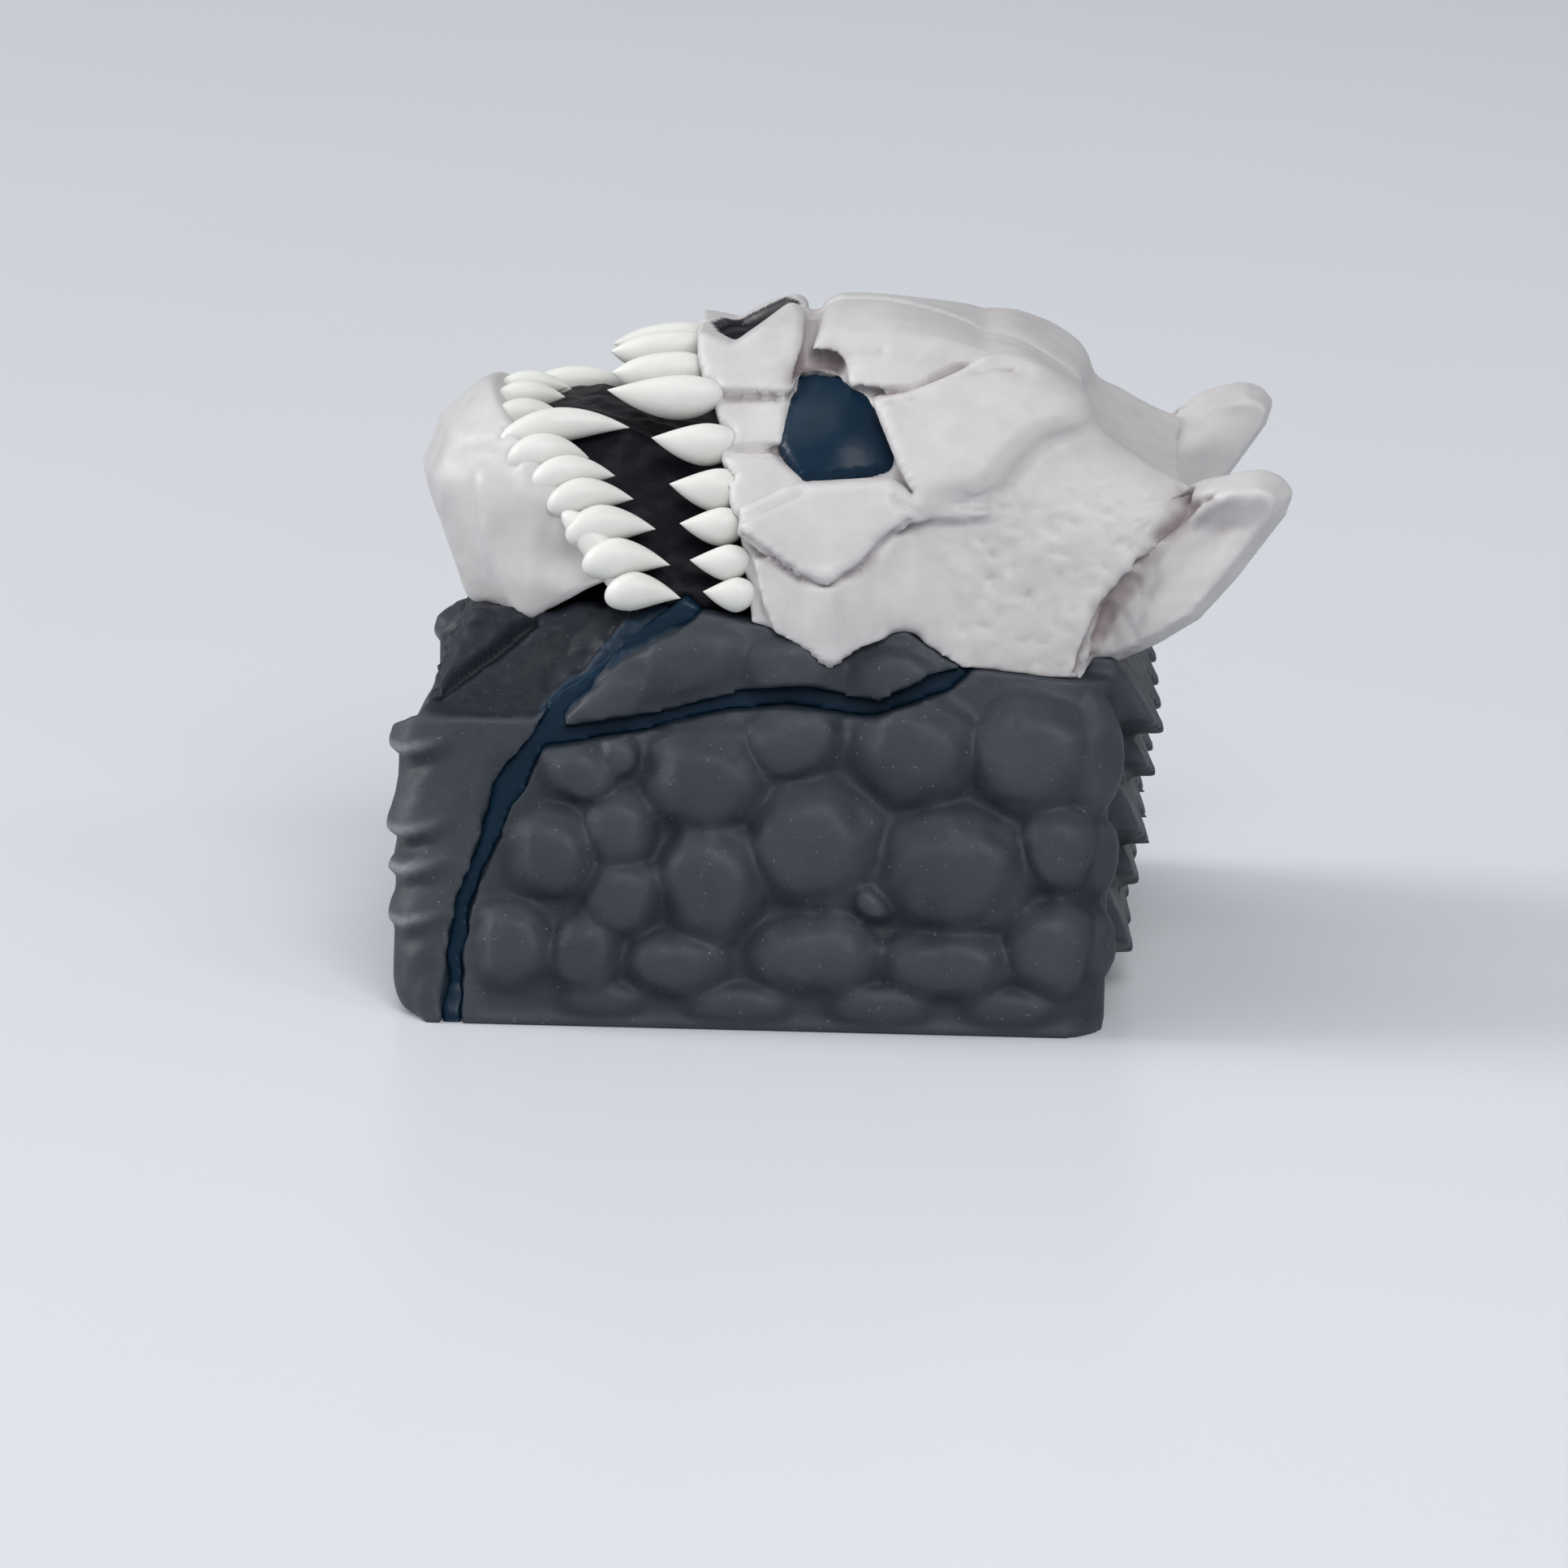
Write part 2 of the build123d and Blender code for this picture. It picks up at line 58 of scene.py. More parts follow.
# Table, softboxes as (name, place, size, watts), and the light of the room
TABLE_SIZE = 2400
LIGHT_AIM = (0, 0, 6)
LIGHTS = [
    ("top_box", (-380, 60, 820), 560, 1.5),
    ("left_box", (-620, 40, 300), 260, 2.9),
    ("front_box", (170, -630, 600), 480, 4.9),
    ("right_box", (520, -330, 560), 130, 0.5),
]
ROOM_COLOUR = (0.84, 0.88, 0.93, 1)
ROOM_STRENGTH = 0.4

# Cap body
CAP_HALF = 9.0
CAP_CORNER = 1.3
CAP_LEAN = 2.7              # how far a flank leans in between the rim and the crown
CROWN = 10.2                # rim to the seam at the corner of the mouth
FLANK_SLOPE = CAP_LEAN / CROWN
FLANK_LEAN = atan(FLANK_SLOPE)
HOLLOW_HALF = 8.1
HOLLOW_TOP = 6.0
HOLLOW_THINNED = 0.9        # share of the hollow's faces that is taken out

# Size of the clay's voxels, and the gap under which vertices are merged first
SHELL_VOXEL = 0.124
BONE_VOXEL = 0.1
DARK_VOXEL = 0.1
FINE_VOXEL = 0.06
FILL_VOXEL = 0.08
MERGE_GAP = 0.001

# How often a piece is evened out to tell its hollows from its crests
SHELL_CAVITY = 30
BONE_CAVITY = 25

# Pebble scales of a flank, as (place along it, height, half length, half height, turn in degrees, rise)
PEBBLES = [
    (-4.3, 6.2, 1.05, 0.82, 15, 0.4), (-3.3, 6.65, 0.58, 0.58, 0, 0.32), (-1.1, 6.05, 1.75, 1.38, -10, 0.6),
    (1.05, 7.05, 1.4, 1.05, -15, 0.5), (4.1, 6.9, 1.68, 1.45, 0, 0.58), (7.0, 6.85, 1.72, 1.6, -20, 0.58),
    (-4.95, 4.2, 1.2, 1.25, 0, 0.52), (-3.2, 4.85, 1.02, 1.08, 0, 0.46), (-3.1, 3.2, 1.1, 1.1, 0, 0.46),
    (-0.9, 3.6, 1.45, 1.7, 10, 0.6), (1.65, 4.6, 1.88, 1.75, 0, 0.66), (5.15, 4.0, 2.2, 1.68, 0, 0.68),
    (7.75, 4.6, 1.08, 1.2, 0, 0.52), (3.1, 3.2, 0.7, 0.46, 35, 0.46), (-5.95, 2.0, 1.35, 1.15, 0, 0.42),
    (-4.1, 1.8, 1.12, 1.0, 0, 0.4), (-1.8, 1.65, 1.5, 0.9, 0, 0.44), (1.75, 1.95, 1.85, 1.1, 0, 0.5),
    (5.0, 1.75, 1.82, 1.0, 0, 0.5), (7.6, 2.2, 1.28, 1.3, 0, 0.48), (3.4, 0.7, 1.6, 0.6, 0, 0.2),
    (-0.2, 0.65, 1.5, 0.55, 0, 0.18), (6.6, 0.7, 1.4, 0.55, 0, 0.18), (-3.6, 0.7, 1.3, 0.5, 0, 0.14),
    (8.8, 6.7, 1.0, 1.6, 0, 0.44), (9.0, 4.3, 0.75, 1.1, 0, 0.36), (9.0, 2.1, 0.7, 1.0, 0, 0.34),
    (-1.6, 8.9, 1.6, 0.95, -20, 0.24), (0.9, 8.8, 1.4, 0.9, 0, 0.26), (3.5, 8.6, 1.3, 0.9, 0, 0.24),
    (-3.4, 8.0, 1.3, 0.66, -25, 0.16),
]
PEBBLE_SHARE = 1.05         # rise of the scales over the listed one
PEBBLE_SPREAD = 1.1         # half sizes of the scales over the listed ones
PEBBLE_SHOULDER = 0.4       # share of the half sizes at which a scale's side starts to fall
PEBBLE_DOME = 0.25          # share of its rise that a scale loses towards its rim
PEBBLE_WANDER = 0.11        # how uneven the outlines are
PEBBLE_WANDER_SIZE = 1.1
VALLEY_DEPTH = 0.09         # how far the joints between scales lie below the plain wall
VALLEY_RIM = 0.15           # relief below which a valley deepens
VALLEY_TOP = 0.28           # relief up to which a flank gets the painted shade of a valley
VALLEY_FADE = (7.0, 6.4)    # heights between which that painted shade comes in

# Part of the walls that is reshaped
WALL_SKIN = -0.28           # stand above the plain wall from which a vertex is on its surface
WALL_FACING = 0.3           # how squarely a vertex has to face outward, near a crack or above WALL_TOP
WALL_FOOT = 0.02
WALL_TOP = 7.0              # height up to which a wall clear of the cracks is reshaped whichever way it faces
WALL_INNER = 5.0            # half width beyond which a vertex belongs to a wall
WALL_END = (9.7, 9.3)       # places along a wall, either way, between which it fades in
SCALES_START = (-7.0, -6.4)
SCALES_FOOT = (0.05, 0.5)

# Folds of hide that hang round the front corners, as (height at the corner, rise, half height)
FOLDS = [(6.5, 0.32, 1.0), (4.5, 0.34, 0.8), (3.55, 0.26, 0.45), (2.3, 0.22, 0.8)]
FOLD_CLIMB = 0.38           # how much a fold climbs from the corner along the flank
FOLD_START = -7.3           # places along the flank where the folds start and where they are full
FOLD_FULL = -8.7
FOLD_LIP = 0.24             # height over which a fold falls away below its crest
FOLD_HOLLOW = 0.5           # depth of the hollow below a fold, as a share of its rise
FOLD_HOLLOW_DROP = 1.6      # crest to the middle of that hollow, in lips
LIP_WIDTH = 0.12            # half width of the highlight painted on a fold's lip, and its height above the crest
LIP_ABOVE = 0.05

# Rounded foot of the front face, and the shingles of the rear face
FRONT_FOOT = 0.55
FRONT_FOOT_TOP = 0.95
FRONT_FACE = (-8.0, -8.8)
SHINGLE_OUT = 0.08
SHINGLE_FACE = (9.1, 9.5)
SHINGLE_FOOT = (0.3, 1.2)
SHINGLE_RUBBED = (9.0, 9.3)

# Cracks
CRACK_CLEAR = 0.7           # distance from a crack beyond which a whole wall is reshaped
CRACK_DRIFT = 0.16          # how far a crack strays from its straight course
CRACK_DRIFT_SIZE = 0.9
CRACK_PULL = (1.4, 0.6)     # distances from a crack between which the wall strays with it
CRACK_STAIN = 0.24          # how far the cracks' colour runs up their walls
CRACK_FOOT = 0.2            # how far the foot of the resin is drawn down, and outward
CRACK_FOOT_FADE = (0.7, 0.2)
CRACK_FOOT_OUT = 0.32
CRACK_FOOT_OUT_FADE = (0.9, 0.15)
TABLE_GAP = 0.01

# Rock under the jaw: where it lies, its front outline as (height, x), its low swell and its roughness
ROCK_BOTTOM = (7.2, 7.5)
ROCK_INSIDE = (-0.2, -0.4)
ROCK_REAR = (-1.3, -2.0)
ROCK_FRONT = [(7.2, -8.5), (8.7, -7.95), (9.7, -7.5)]
ROCK_FRONT_X = (-6.6, -7.4)  # part of its front that is rubbed down, and how often
ROCK_FRONT_Z = (7.7, 8.3)
ROCK_FRONT_TIMES = 40
ROCK_SWELL = -3.7
ROCK_SWELL_WIDTH = 1.3
ROCK_SWELL_OUT = 0.3
ROCK_SWELL_UP = 0.35
ROCK_SWELL_FADE = (7.8, 9.4)
ROCK_WAVE = 0.15
ROCK_WAVE_SIZE = 2.2
ROCK_GRIT = 0.17
ROCK_GRIT_SIZE = 0.42

# Crevices of the rock in side view, as a line of (x, height), half width and depth
CREVICES = [
    ([(-5.7, 9.4), (-8.05, 7.75)], 0.13, 0.4),
    ([(-3.6, 9.8), (-4.8, 8.9), (-5.4, 8.0)], 0.2, 0.1),
]

# Plates of the skull in side view, as extra rise and outline (x, height above the crown)
PLATES = [
    (0.16, [(-1.6, 4.9), (-1.7, 6.2), (-0.8, 5.95), (0.6, 6.85), (0.9, 6.6), (0.9, 5.3), (0.6, 5.0)]),
    (0.12, [(-1.3, 4.8), (0.6, 4.9), (0.55, 3.8), (-0.8, 3.7)]),
    (0.14, [(-1.0, 3.6), (0.1, 3.7), (1.1, 3.1), (0.8, 2.8), (-0.4, 2.2), (-0.9, 2.4)]),
    (0.12, [(1.2, 6.0), (1.8, 6.9), (3.8, 6.9), (6.3, 5.9), (4.9, 5.8), (3.8, 5.25), (2.3, 5.25),
            (1.8, 5.9)]),
    (0.22, [(2.9, 5.0), (3.8, 5.2), (6.0, 6.1), (7.4, 6.1), (8.5, 4.7), (7.0, 4.4), (6.3, 3.7), (5.7, 3.0),
            (4.1, 2.8), (3.6, 3.6)]),
    (0.24, [(-0.4, 1.9), (-0.3, 2.3), (1.1, 3.0), (3.3, 3.2), (3.8, 2.9), (4.8, 2.6), (4.8, 2.5), (3.8, 2.4),
            (2.5, 1.2), (1.8, 0.9), (1.1, 1.0)]),
]
PLATE_EDGE = 0.12           # half width of an outline's soft edge

# Plate edges that fade into the bone, as a line of (x, height above the crown), the reach of the fade and how
# often it is rubbed down
FADES = [
    ([(8.5, 4.7), (7.0, 4.4), (6.3, 3.7), (5.7, 3.0), (4.6, 2.85)], 0.75, 130),
    ([(4.6, 2.75), (5.9, 2.65)], 0.5, 90),
    ([(3.75, -0.5), (3.6, 0.6), (3.35, 1.7)], 0.6, 160),
    ([(6.3, 7.9), (6.4, 6.2)], 1.3, 120),
]
FADE_CORE = 0.3             # share of a fade's reach in which it is full

# Step at the back of the skull's top that is rubbed down
CROWN_FADE = [(8.2, 6.6), (8.8, 5.0)]
CROWN_FADE_REACH = (1.6, 0.5)
CROWN_FADE_WIDTH = (5.4, 4.2)
CROWN_FADE_TIMES = 160

# Creases of the skull, as a line of (x, height above the crown), half width and depth
CREASES = [
    ([(3.6, 7.0), (5.2, 6.6), (6.6, 6.0)], 0.22, 0.12),
    ([(2.1, 5.95), (2.95, 6.15)], 0.14, 0.12),
    ([(3.5, 2.95), (4.3, 2.45)], 0.14, 0.14),
    ([(2.4, 5.2), (3.0, 5.15), (3.8, 5.3), (4.9, 5.85), (6.3, 6.0)], 0.12, 0.15),
    ([(-0.45, 1.85), (1.1, 0.92), (1.8, 0.82), (2.5, 1.12), (3.8, 2.33)], 0.12, 0.15),
    ([(-1.3, 4.85), (0.65, 4.95)], 0.12, 0.14),
    ([(-0.9, 3.65), (0.1, 3.75), (0.6, 3.75)], 0.12, 0.14),
    ([(-0.45, 2.3), (0.8, 2.85), (1.1, 3.05)], 0.12, 0.14),
]
SIDE_FACING = (0.2, 0.5)    # share of a normal that points sideways, for carving on the sides alone
BONE_WANDER_SIZE = 0.8

# Edge of the temple over the root of a horn, from below, as (x, height above the crown), and the half width
# of the temple beside it, as (height above the crown, half width)
HORN_EDGE = [
    (8.24, -1.65), (8.47, -0.56), (8.73, 0.08), (9.53, 1.17), (10.13, 2.0), (11.15, 3.45), (11.5, 4.0),
]
TEMPLE_WIDTH = [(-2.0, 6.4), (0.0, 6.15), (2.3, 5.6), (3.6, 5.2), (4.4, 4.7)]
TEMPLE_PLAY = 0.05          # how far the temple may stand out past that half width
TEMPLE_BESIDE = (-3.2, -0.8)
TEMPLE_INNER = 4.0
HORN_SUNK = 1.15            # how far the root of a horn lies behind the temple's edge
HORN_STEP = (-0.1, 0.2)     # distances past the edge between which the root drops
HORN_REACH = 3.0            # distance past the edge at which the horn is out again
HORN_TOP = (2.2, 3.4)       # heights above the crown between which the step runs out
HORN_INNER = 3.4            # half width at which the sinking starts and at which it is full
HORN_OUTER = 5.8
EDGE_MIDDLE = 0.1           # strip along the edge that is rubbed down
EDGE_RUBBED = (0.5, 0.2)
EDGE_TIMES = 8
CORNER_PAST = -0.6          # corner above the edge that is rubbed down
CORNER_RISE = 3.3
CORNER_RUBBED = (1.9, 1.0)
CORNER_END = 0.5
CORNER_INNER = 3.0
CORNER_TIMES = 60
HORN_GROOVE_DEPTH = 0.3
HORN_GROOVE_WIDTH = 0.22
HORN_GROOVE_WANDER = 0.16
HORN_GROOVE_INNER = 3.5
HORN_FADE = (9.0, 10.2)
STREAK_DEPTH = 0.015        # streaks along a horn: depth, waves, slope and unevenness
STREAK_WAVES = 7.0
STREAK_SLOPE = 0.9
STREAK_WANDER = 2.5

# Pitted part of the temple, and its waves and pits
TEMPLE_FRONT = (3.6, 6.0)
TEMPLE_REAR = (10.5, 9.5)
TEMPLE_TOP = (3.9, 2.6)
TEMPLE_WAVE = 0.045
TEMPLE_WAVE_SIZE = 0.7
TEMPLE_PIT = 0.08
TEMPLE_PIT_SIZE = 0.35

# Brow, cheek and nose
BROW_PIT = [(0.95, 5.5), (1.7, 5.75)]
BROW_PIT_WIDTH = 0.35
BROW_PIT_INNER = 1.0
BROW_GAP = [(1.0, 5.3), (1.08, 6.5)]    # between nose and forehead
BROW_GAP_WIDTH = 0.25
BROW_GAP_INNER = 0.8
# strength of the painted mauve shade in the gap between nose and forehead
BROW_GAP_SHADE = 0.5
CHEEK_RIDGE = [(1.9, -1.2), (1.75, 0.6)]
CHEEK_RIDGE_WIDTH = 0.5
FACE_RELIEF = 0.3           # height of the cheek's ridge and depth of the brow's pit

# Half of the nasal opening from above (x, y), carried past the middle, and its floor above the crown
NOSE_OUTLINE = [(-1.45, -1), (-1.45, 0), (-1.2, 1.1), (-0.7, 1.6), (0.0, 1.1), (0.75, 0.2), (0.75, -1)]
NOSE_FLOOR = 4.8
NOSE_COAT = (0.2, 0.5)

# Eyes
EYE_CENTRE = (2.2, 4.1)
EYE_FILL = 0.22
EYE_BULGE = 0.2

# Lower jaw
JAW_SOLE = [(-5.9, -0.8), (-4.24, 0.3), (-3.4, 0.75)]   # lower edge of its rear part
JAW_REAR = -3.3
JAW_RUBBED = 24
JAW_SWELL = 0.06
JAW_RIDGE = [(-6.9, 2.6), (-6.6, 1.2), (-5.9, -0.6)]
JAW_RIDGE_WIDTH = 0.4
JAW_RIDGE_RISE = 0.3
JAW_HOLLOW = (-5.1, 0.9)    # soft hollow behind the ridge
JAW_HOLLOW_DEPTH = 0.3
JAW_GRAIN = 0.03
JAW_GRAIN_SIZE = 1.1
CHIN_FRONT = (-5.5, -8.0)
CHIN_TOP = (3.6, 1.6)
CHIN_RISE = 0.22
CHIN_LUMPS = [((-7.75, 2.9, 4.7), 0.5, 0.16), ((-7.3, 3.2, 3.9), 0.55, 0.16), ((-7.9, 2.6, 3.4), 0.5, 0.12)]

# Lumps of the black filling
LINING_LUMP = 0.14
LINING_LUMP_SIZE = 1.4
LINING_FADE = (-9.0, -6.0)

# Teeth of one side, as root and tip (x, half width, height above the crown), radius and bluntness; the last
# of the lower ones is the gum that the rear teeth share
UPPER_TEETH = [
    ((-1.6, 0.6, 5.7), (-4.05, 0.6, 5.5), 0.56, 2.6),
    ((-1.5, 1.75, 5.3), (-3.95, 1.7, 5.15), 0.6, 2.6),
    ((-1.1, 2.95, 4.9), (-4.0, 2.8, 4.9), 0.58, 1.7),
    ((-0.65, 3.75, 3.8), (-2.8, 3.9, 3.9), 0.55, 1.6),
    ((-0.4, 4.45, 2.75), (-2.3, 4.55, 2.85), 0.57, 1.5),
    ((-0.4, 5.0, 1.95), (-2.0, 5.1, 1.95), 0.5, 1.5),
    ((-0.25, 5.6, 1.15), (-1.7, 5.75, 1.15), 0.47, 1.4),
    ((-0.1, 6.0, 0.4), (-1.35, 6.0, 0.4), 0.45, 1.4),
]
LOWER_TEETH = [
    ((-7.1, 0.75, 4.0), (-5.2, 0.7, 4.3), 0.42, 2.2),
    ((-7.0, 1.9, 3.75), (-5.2, 1.8, 4.05), 0.44, 2.2),
    ((-6.7, 3.0, 3.5), (-3.4, 2.9, 3.95), 0.48, 1.8),
    ((-6.4, 3.6, 3.2), (-4.4, 3.45, 3.25), 0.5, 2.2),
    ((-5.75, 4.15, 2.75), (-3.7, 3.95, 2.9), 0.46, 1.9),
    ((-5.3, 4.65, 2.25), (-3.2, 4.4, 2.4), 0.48, 1.7),
    ((-4.8, 5.05, 1.6), (-2.6, 4.95, 1.75), 0.54, 1.5),
    ((-4.35, 5.45, 0.9), (-2.2, 5.5, 0.95), 0.54, 1.4),
    ((-3.75, 5.8, 0.2), (-1.9, 5.95, 0.2), 0.5, 1.4),
    ((-4.9, 4.85, 2.1), (-3.2, 5.62, -0.25), 0.42, 2.6),
]
TOOTH_BELLY = 0.38          # share of a tooth's length at its widest place
TOOTH_THIN = 0.8            # thickness of a tooth over its height
TOOTH_ROOT = 0.08           # how far a root runs back onto the bone
TOOTH_PROUD = 0.08          # how far a tooth stands out from the bone beside it
TOOTH_SEGMENTS = 24
TOOTH_RINGS = 22
UPPER_HOOK = 0.16           # bow over a tooth's length: above 0 its middle lies lower, below 0 higher
LOWER_HOOK = -0.3
HOOK_POWER = 2.2            # the higher, the nearer to the tip a tooth bends


# Handling of pieces


def only(piece):
    """Leaves one piece selected and active."""
    bpy.ops.object.select_all(action="DESELECT")
    piece.select_set(True)
    bpy.context.view_layer.objects.active = piece


def settle(piece, kind, **settings):
    """Adds a modifier to a piece and applies it."""
    only(piece)
    modifier = piece.modifiers.new(kind.title(), kind)
    for key, value in settings.items():
        setattr(modifier, key, value)
    bpy.ops.object.modifier_apply(modifier=modifier.name)


def clay(node, name, voxel):
    """Copy of a node's mesh in millimetres, merged and rebuilt from even voxels."""
    piece = bpy.data.objects.new(name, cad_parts[node].data.copy())
    bpy.context.scene.collection.objects.link(piece)
    piece.data.transform(Matrix.Scale(1 / MM, 4))
    only(piece)
    bpy.ops.object.mode_set(mode="EDIT")
    bpy.ops.mesh.select_all(action="SELECT")
    bpy.ops.mesh.remove_doubles(threshold=MERGE_GAP)
    bpy.ops.object.mode_set(mode="OBJECT")
    settle(piece, "REMESH", mode="VOXEL", voxel_size=voxel)
    return piece


def points_of(piece):
    """Places and normals of a piece's vertices."""
    count = len(piece.data.vertices)
    places = np.empty(count * 3)
    normals = np.empty(count * 3)
    piece.data.vertices.foreach_get("co", places)
    piece.data.vertices.foreach_get("normal", normals)
    return places.reshape(-1, 3), normals.reshape(-1, 3)


def put(piece, places):
    """Moves a piece's vertices to new places."""
    piece.data.vertices.foreach_set("co", places.ravel())
    piece.data.update()


def push(piece, height):
    """Moves a piece's vertices along their normals by a height each."""
    places, normals = points_of(piece)
    put(piece, places + normals * height[:, None])


def smooth(piece, times, weight=None):
    """Evens out a piece, or the part of it that a weight from 0 to 1 covers."""
    before, _ = points_of(piece)
    settle(piece, "SMOOTH", factor=0.5, iterations=times)
    if weight is not None:
        after, _ = points_of(piece)
        put(piece, before + (after - before) * weight[:, None])


def ramp(value, start, end):
    """Smooth step from 0 at its start to 1 at its end, which may be the lower of the two."""
    share = np.clip((value - start) / (end - start), 0, 1)
    return share * share * (3 - 2 * share)


def grain(places, size, seed=0.0, detail=3):
    """Fractal noise from about -1 to 1 at each place."""
    shift = Vector((seed, 2 * seed, -seed))
    return np.array([noise.fractal(Vector(p) / size + shift, 1.0, 2.0, detail) for p in places])


def from_line(x, z, line):
    """Distance of flat points from a line of points."""
    points = np.stack([x, z], axis=1)
    line = np.array(line, float)
    gaps = []
    for start, end in zip(line, line[1:]):
        run = end - start
        share = np.clip(((points - start) @ run) / (run @ run), 0, 1)
        gaps.append(np.linalg.norm(points - start - share[:, None] * run, axis=1))
    return np.min(gaps, axis=0)


def along_line(x, z, line, width, shift=0.0):
    """Weight of flat points that is 1 on a line and falls off softly beside it."""
    return np.exp(-((from_line(x, z, line) + shift) / width) ** 2)


def inside(x, z, outline):
    """Weight of flat points that is 1 inside an outline, with a narrow soft edge."""
    within = np.zeros(len(x), bool)
    for (x0, z0), (x1, z1) in zip(outline, outline[1:] + outline[:1]):
        if z0 != z1:
            crossed = (z0 > z) != (z1 > z)
            within ^= crossed & (x < x0 + (x1 - x0) * (z - z0) / (z1 - z0))
    gap = from_line(x, z, outline + outline[:1])
    return ramp(np.where(within, gap, -gap), -PLATE_EDGE, PLATE_EDGE)


def facing_side(normals, y):
    """Weight of the vertices that face away from the middle of the keycap."""
    return ramp(normals[:, 1] * np.sign(y), *SIDE_FACING)


def keep_value(piece, name, values):
    """Stores a value for each vertex, which a finish can read."""
    attribute = piece.data.attributes.new(name, "FLOAT", "POINT")
    attribute.data.foreach_set("value", np.asarray(values, float))


def keep_cavity(piece, times):
    """Stores how far each vertex lies below its surroundings, in millimetres, as the piece's cavity."""
    places, normals = points_of(piece)
    smooth(piece, times)
    level, _ = points_of(piece)
    put(piece, places)
    keep_value(piece, "cavity", ((level - places) * normals).sum(axis=1))


def hand_over(piece, material, slot, *nodes):
    """Brings a finished piece down to metres and sets it on the keycap in place of its nodes."""
    piece.data.transform(Matrix.Scale(MM, 4))
    piece.data.materials.clear()
    piece.data.materials.append(material)
    only(piece)
    bpy.ops.object.shade_smooth()
    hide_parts(*nodes)
    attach(piece, "root")


# Finishes


def new_finish(name, **sockets):
    """Material with a principled shader whose plain sockets are set, its nodes and its links."""
    material = bpy.data.materials.new(name)
    material.use_nodes = True
    nodes = material.node_tree.nodes
    shader = nodes["Principled BSDF"]
    for socket, value in sockets.items():
        shader.inputs[socket.replace("_", " ")].default_value = value
    return material, nodes, material.node_tree.links, shader


def speckle(nodes, links, coordinates, scale, detail=4.0, rough=0.6):
    """Noise pattern at a scale per millimetre, read on object coordinates."""
    pattern = nodes.new("ShaderNodeTexNoise")
    pattern.inputs["Scale"].default_value = scale / MM
    pattern.inputs["Detail"].default_value = detail
    pattern.inputs["Roughness"].default_value = rough
    links.new(coordinates.outputs["Object"], pattern.inputs["Vector"])
    return pattern.outputs["Fac"]


def tones(nodes, links, factor, *stops):
    """Colour ramp with stops of (place, colour)."""
    ramp_node = nodes.new("ShaderNodeValToRGB")
    band = ramp_node.color_ramp
    for element, (place, colour) in zip(band.elements, (stops[0], stops[-1])):
        element.position = place
        element.color = (*colour, 1)
    for place, colour in stops[1:-1]:
        band.elements.new(place).color = (*colour, 1)
    links.new(factor, ramp_node.inputs["Fac"])
    return ramp_node.outputs["Color"]


def greys(nodes, links, factor, *stops):
    """Colour ramp with stops of (place, level of grey), for a socket that takes a plain value."""
    return tones(nodes, links, factor, *((place, (level, level, level)) for place, level in stops))


def blended(nodes, links, kind, factor, first, second):
    """Mix of two colours; each of the three is a socket or a plain value."""
    mix = nodes.new("ShaderNodeMix")
    mix.data_type = "RGBA"
    mix.blend_type = kind
    for socket, value in ((mix.inputs[0], factor), (mix.inputs[6], first), (mix.inputs[7], second)):
        if isinstance(value, (int, float)):
            socket.default_value = value
        elif isinstance(value, tuple):
            socket.default_value = (*value, 1)
        else:
            links.new(value, socket)
    return mix.outputs[2]


def between(nodes, links, value, low, high, top=1.0):
    """Value brought from the span low to high to the span 0 to top."""
    span = nodes.new("ShaderNodeMapRange")
    span.inputs["From Min"].default_value = low
    span.inputs["From Max"].default_value = high
    span.inputs["To Max"].default_value = top
    links.new(value, span.inputs["Value"])
    return span.outputs["Result"]


def stored(nodes, name):
    """Reader of a value that a piece keeps at its vertices."""
    reader = nodes.new("ShaderNodeAttribute")
    reader.attribute_name = name
    return reader.outputs["Fac"]


def raise_bumps(nodes, links, shader, height, strength, distance):
    """Fine relief on a shader's normal."""
    bump = nodes.new("ShaderNodeBump")
    bump.inputs["Strength"].default_value = strength
    bump.inputs["Distance"].default_value = distance * MM
    links.new(height, bump.inputs["Height"])
    links.new(bump.outputs["Normal"], shader.inputs["Normal"])


